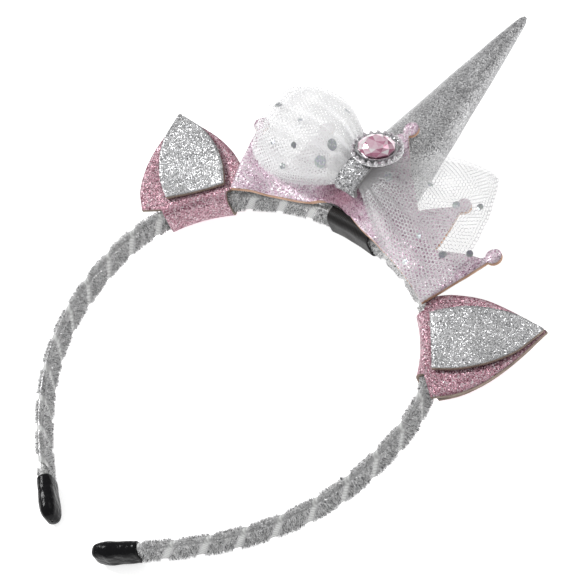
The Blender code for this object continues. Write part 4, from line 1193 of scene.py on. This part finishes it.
def net_ply(loop, ply):
    """One layer of hexagon net: points, faces, its length and its width."""
    turn_table, length = loop_turns(loop)
    rows = round(length[-1] / (0.866 * TULLE_CELL))
    half_way = loop_point(loop, np.full(60, 0.36), np.linspace(-1, 1, 60), gather=0.0)
    width = running_length(half_way)[-1]
    columns = round(width / TULLE_CELL)
    u, v, cells = honeycomb(columns, rows)
    turn = np.interp(v * length[-1], length, turn_table)
    corners = loop_point(loop, turn, 2 * u - 1, ply=ply)
    around = corners[cells]
    centre = around.mean(axis=1, keepdims=True)
    edge_middle = (around + np.roll(around, -1, axis=1)) / 2
    reach = np.linalg.norm(edge_middle - centre, axis=2).min(axis=1)[:, None, None]
    share = np.clip(loop.thread / 2 / np.maximum(reach, 1e-6), 0.0, 0.9)
    inner = around + (centre - around) * share
    sound = reach[:, 0, 0] > 0.03 * MM
    cells, inner = cells[sound], inner[sound]
    inner_index = np.arange(len(cells) * 6).reshape(-1, 6) + len(corners)
    faces = np.stack([
        cells, np.roll(cells, -1, axis=1), np.roll(inner_index, -1, axis=1), inner_index,
    ], axis=2).reshape(-1, 4)
    return np.concatenate([corners, inner.reshape(-1, 3)]), faces, length[-1], width


def build_loop(loop):
    """A loop of one or more layers of hexagon net, and its foil dots."""
    points = []
    faces = []
    count = 0
    for ply in range(loop.plies):
        ply_points, ply_faces, length, width = net_ply(loop, ply)
        points.append(ply_points)
        faces += [tuple(face) for face in (ply_faces + count).tolist()]
        count += len(ply_points)
    node = "bow_loop_" + loop.side
    piece = add_piece(node + "_net", np.concatenate(points), faces, [TULLE[loop.side]], [node])
    dots = build_dots(loop)


def build_dots(loop):
    """Round foil dots that lie on the loop's outer face."""
    points = []
    faces = []
    dot_painted_lights = []
    for dot in loop.dots:
        step = 0.01
        middle = loop_point(loop, dot.turn, dot.across)
        along = loop_point(loop, dot.turn + step, dot.across) - loop_point(loop, dot.turn - step, dot.across)
        across = loop_point(loop, dot.turn, dot.across + step) - loop_point(loop, dot.turn, dot.across - step)
        along = unit(along)
        normal = unit(np.cross(along, across))
        normal *= 1.0 if normal[2] > 0 else -1.0
        across = np.cross(normal, along)
        base = len(points)
        for share in (0.0, 0.5, 1.0):
            for k in range(DOT_SIDES if share else 1):
                angle = 2 * math.pi * k / DOT_SIDES
                reach = share * dot.radius * MM
                flat = along * math.cos(angle) * reach + across * math.sin(angle) * reach
                curl = normal * (DOT_LIFT - DOT_CURL * share * math.cos(2 * angle + dot.turn * 9))
                points.append(middle + flat + curl)
        for k in range(DOT_SIDES):
            n = (k + 1) % DOT_SIDES
            faces.append((base, base + 1 + k, base + 1 + n))
            low = base + 1 + DOT_SIDES
            faces.append((base + 1 + k, low + k, low + n, base + 1 + n))
        # Each dot's painted reflection brightness, on all its faces.
        dot_painted_lights += [dot.shade] * (2 * DOT_SIDES)
    piece = add_piece("bow_dots_" + loop.side, points, faces, [FOIL])
    set_painted_light(piece, dot_painted_lights)
    return piece


def build_knot():
    """The glitter strap over the bow's middle."""
    index = np.linspace(0, len(KNOT_ROWS) - 1, 60)
    order = np.arange(len(KNOT_ROWS))
    height = smooth_table(order, [row.height for row in KNOT_ROWS], index) * KNOT_HEIGHT
    front = smooth_table(order, [row.front for row in KNOT_ROWS], index) * KNOT_FRONT
    share = np.linspace(-1.0, 1.0, 21)
    grid = []
    for h, f in zip(height, front):
        x = KNOT_SHIFT - math.tan(KNOT_LEAN) * h + share * KNOT_WIDTH / 2
        grid.append(np.stack([x, np.full_like(x, BAND_HEIGHT + h), f - KNOT_EDGE_DROP * share**2], axis=-1))
    faces = grid_faces(len(grid), len(share), flip=False)
    materials = [COARSE_SILVER, BACKING, BACKING]
    piece = add_piece("bow_knot_leather", grid, faces, materials, ["bow_knot"])
    add_leather(piece, KNOT_THICKNESS)


def brooch_points(x, y, z):
    """From the gem's own flat frame to the headband's: turned, then tipped back a little."""
    x, y, z = np.broadcast_arrays(x, y, z)
    turned_x = x * math.cos(GEM_TURN) - y * math.sin(GEM_TURN)
    turned_y = x * math.sin(GEM_TURN) + y * math.cos(GEM_TURN)
    tipped_y = turned_y * math.cos(GEM_TIP_BACK) + z * math.sin(GEM_TIP_BACK)
    tipped_z = -turned_y * math.sin(GEM_TIP_BACK) + z * math.cos(GEM_TIP_BACK)
    return np.stack([turned_x, tipped_y, tipped_z], axis=-1) + GEM_PLACE


def zigzag_faces(low, high, sides, shift):
    """Triangles between two rings whose corners lie half a step apart."""
    faces = []
    for k in range(sides):
        n = (k + 1) % sides
        faces.append((low + k, low + n, high + (k if shift else n)))
        if shift:
            faces.append((low + n, high + n, high + k))
        else:
            faces.append((low + k, high + n, high + k))
    return faces


def cut_stone(length, width, floor, girdle, height, sides, centre=(0.0, 0.0)):
    """A brilliant: closed foot, girdle, two zigzag rows of facets, and a table cut in a fan."""
    rise = height - girdle
    sections = (
        (0.86, 0.0, 0.0), (1.0, 0.35 * girdle, 0.0), (1.0, girdle, 0.0),
        (0.84, girdle + 0.48 * rise, 0.5), (0.66, girdle + 0.86 * rise, 0.0), (0.52, height, 0.5),
    )
    points = []
    for share, z, shift in sections:
        angle = 2 * math.pi * (np.arange(sides) + shift) / sides
        x = centre[0] + length / 2 * share * np.cos(angle)
        y = centre[1] + width / 2 * share * np.sin(angle)
        points.append(brooch_points(x, y, floor + z))
    points.append(brooch_points(np.array([centre[0]]), np.array([centre[1]]), floor + height))
    faces = [tuple(range(sides))[::-1]]
    for r in range(2):
        for k in range(sides):
            n = (k + 1) % sides
            faces.append((r * sides + k, r * sides + n, (r + 1) * sides + n, (r + 1) * sides + k))
    faces += zigzag_faces(2 * sides, 3 * sides, sides, True)
    faces += zigzag_faces(3 * sides, 4 * sides, sides, False)
    faces += zigzag_faces(4 * sides, 5 * sides, sides, True)
    top = 5 * sides
    faces += [(top + k, top + (k + 1) % sides, 6 * sides) for k in range(sides)]
    return np.concatenate(points), faces


def build_gem():
    """The oval pink stone."""
    floor = SETTING_LIFT + SETTING_FLOOR + SEAT_GAP
    points, faces = cut_stone(GEM_LENGTH, GEM_WIDTH, floor, GEM_GIRDLE, GEM_HEIGHT, GEM_SIDES)
    piece = add_piece("gem_cut", points, faces, [PINK_STONE], ["gem_stone"], smooth=False)
    # Painted reflection of each facet, and a painted pattern of the foil seen through the table.
    tone = rng.choice((0.1, 0.45, 0.6, 0.75, 1.0), len(faces))
    tone[-GEM_SIDES:] = rng.choice((0.2, 0.5, 0.6, 0.7, 0.8, 1.0), GEM_SIDES)
    set_painted_light(piece, tone)


def build_ring():
    """A scalloped metal band and the small stones set on it."""
    steps = RING_STONES * 10
    angle = 2 * math.pi * np.arange(steps) / steps
    scallop = RING_SCALLOP * np.abs(np.cos(RING_STONES * angle / 2 + math.pi / 2))
    rim = RING_BAND / 2 - RING_SCALLOP + scallop
    rings = []
    for side, z in ((-1, 0.0), (1, 0.0), (1, RING_BAND_HEIGHT), (0.55, 1.15 * RING_BAND_HEIGHT),
                    (-0.55, 1.15 * RING_BAND_HEIGHT), (-1, RING_BAND_HEIGHT)):
        length = RING_LENGTH / 2 + side * rim
        width = RING_WIDTH / 2 + side * rim
        rings.append(brooch_points(length * np.cos(angle), width * np.sin(angle), z))
    rings.append(rings[0])
    faces = grid_faces(len(rings), steps, closed=True)
    add_piece("ring_band", rings, faces, [METAL], ["rhinestone_ring"])
    points = []
    stone_faces = []
    total = 0
    for k in range(RING_STONES):
        a = 2 * math.pi * (k + 0.5) / RING_STONES
        centre = (RING_LENGTH / 2 * math.cos(a), RING_WIDTH / 2 * math.sin(a))
        size = 2 * RING_STONE_RADIUS * 0.98
        made, cut = cut_stone(
            size, size, 0.75 * RING_BAND_HEIGHT, 0.4 * RING_STONE_HEIGHT,
            RING_STONE_HEIGHT + 0.25 * RING_BAND_HEIGHT, RING_STONE_SIDES, centre,
        )
        points.append(made)
        stone_faces += [tuple(i + total for i in face) for face in cut]
        total += len(made)
    stones = add_piece(
        "ring_stones", np.concatenate(points), stone_faces, [CLEAR_STONE], smooth=False
    )
    # Painted reflection of each small stone's facets.
    set_painted_light(stones, rng.beta(0.9, 0.7, len(stone_faces)))


def build_label():
    """A black label folded round the front edge, the inside and the back edge of the wound band."""
    inside = WOUND_HALF_THICKNESS + TAPE_CELL_DROP + SEAT_GAP + LABEL_THICKNESS / 2
    face = WOUND_HALF_WIDTH + SEAT_GAP + LABEL_THICKNESS / 2
    section = [(rise, face) for rise in np.linspace(LABEL_FRONT_RISE, 0.0, 4)[:-1]]
    bend = []
    for k in range(9):
        angle = math.pi / 16 * k
        bend.append((-inside * math.sin(angle), face - inside + inside * math.cos(angle)))
    run = [(-inside, front) for front in np.linspace(face - inside, inside - face, 11)[1:-1]]
    section += bend + run + [(out, -front) for out, front in reversed(bend)]
    s = np.linspace(LABEL_START, LABEL_END, 45)
    grid = [
        band_line.place(s, out + LABEL_WAVE * ripple(s, np.full_like(s, front), 7 * MM), front)
        for out, front in section
    ]
    faces = grid_faces(len(grid), len(s), flip=False)
    piece = add_piece("label_cloth", grid, faces, 3 * [BLACK_SATIN], ["label"])
    add_leather(piece, LABEL_CLOTH)


def build_floor():
    """A pale floor that the headband lies on."""
    side = FLOOR_HALF_SIDE
    mesh = bpy.data.meshes.new("floor")
    corners = [(-side, -side, 0.0), (side, -side, 0.0), (side, side, 0.0), (-side, side, 0.0)]
    mesh.from_pydata(corners, [], [(0, 1, 2, 3)])
    look = Look("pale floor", {"Roughness": 0.9, "Base Color": (0.92, 0.92, 0.92, 1.0)})
    look.finish_with({"Emission Color": (1.0, 1.0, 1.0, 1.0), "Emission Strength": 0.7})
    mesh.materials.append(look.material)
    floor = bpy.data.objects.new("floor", mesh)
    bpy.context.scene.collection.objects.link(floor)


def add_area_light(name, place, aim, size, power):
    data = bpy.data.lights.new(name, "AREA")
    data.shape = "DISK"
    data.size = size
    data.energy = power
    light = bpy.data.objects.new(name, data)
    bpy.context.scene.collection.objects.link(light)
    back = unit(np.subtract(place, aim))
    side = unit(np.cross((0.0, 0.0, 1.0), back))
    up = np.cross(back, side)
    columns = np.eye(4)
    columns[:3, 0], columns[:3, 1], columns[:3, 2], columns[:3, 3] = side, up, back, place
    light.matrix_world = Matrix(columns.tolist())


def build_light():
    world = bpy.data.worlds.new("studio")
    bpy.context.scene.world = world
    world.use_nodes = True
    shader = world.node_tree.nodes["Background"]
    shader.inputs["Color"].default_value = (1.0, 1.0, 1.0, 1.0)
    shader.inputs["Strength"].default_value = 0.42
    add_area_light("key", (-0.75, -0.2, 0.75), (0.0, 0.0, 0.0), 0.3, 7.4)
    add_area_light("fill", (0.3, 0.5, 0.9), (0.0, 0.0, 0.0), 0.5, 1.0)


def build_camera():
    """The photograph's viewpoint, found from the headband's own curve and sizes."""
    a, e, r = CAMERA_AZIMUTH, CAMERA_ELEVATION, CAMERA_ROLL
    back = np.array((math.cos(e) * math.sin(a), -math.cos(e) * math.cos(a), math.sin(e)))
    right = np.array((math.cos(a), math.sin(a), 0.0))
    up = np.cross(back, right)
    view_right = math.cos(r) * right + math.sin(r) * up
    view_up = -math.sin(r) * right + math.cos(r) * up
    place = CAMERA_AIM[0] * view_right + CAMERA_AIM[1] * view_up + CAMERA_DISTANCE * back
    head_to_frame = np.array(((1.0, 0.0, 0.0), (0.0, 0.0, 1.0), (0.0, -1.0, 0.0)))
    axes = head_to_frame @ np.stack([view_right, view_up, back], axis=1)
    matrix = np.eye(4)
    matrix[:3, :3] = placed(axes.T).T - placed(np.zeros(3)).T
    matrix[:3, 3] = placed(head_to_frame @ place)[0]
    data = bpy.data.cameras.new("camera")
    data.lens = CAMERA_LENS
    data.sensor_width = CAMERA_SENSOR
    data.clip_start = 0.01
    camera = bpy.data.objects.new("camera", data)
    bpy.context.scene.collection.objects.link(camera)
    camera.matrix_world = Matrix(matrix.tolist())
    bpy.context.scene.camera = camera


def dress_node(node, material):
    """A new material on a solid whose shape stays."""
    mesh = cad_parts[node].data
    mesh.materials.clear()
    mesh.materials.append(material)


build_camera()
build_light()
build_floor()
dress_node("band_strip", SATIN)
dress_node("gem_setting", METAL)
build_tinsel()
build_satin_ribbon()
build_end_cap(-1, "end_cap_left")
build_end_cap(1, "end_cap_right")
for ear_place in EARS:
    build_outer_ear(ear_place)
    build_inner_ear(ear_place)
build_crown()
build_horn()
for bow_loop in LOOPS:
    build_loop(bow_loop)
build_knot()
build_gem()
build_ring()
build_label()

bpy.context.scene.view_settings.view_transform = "Standard"
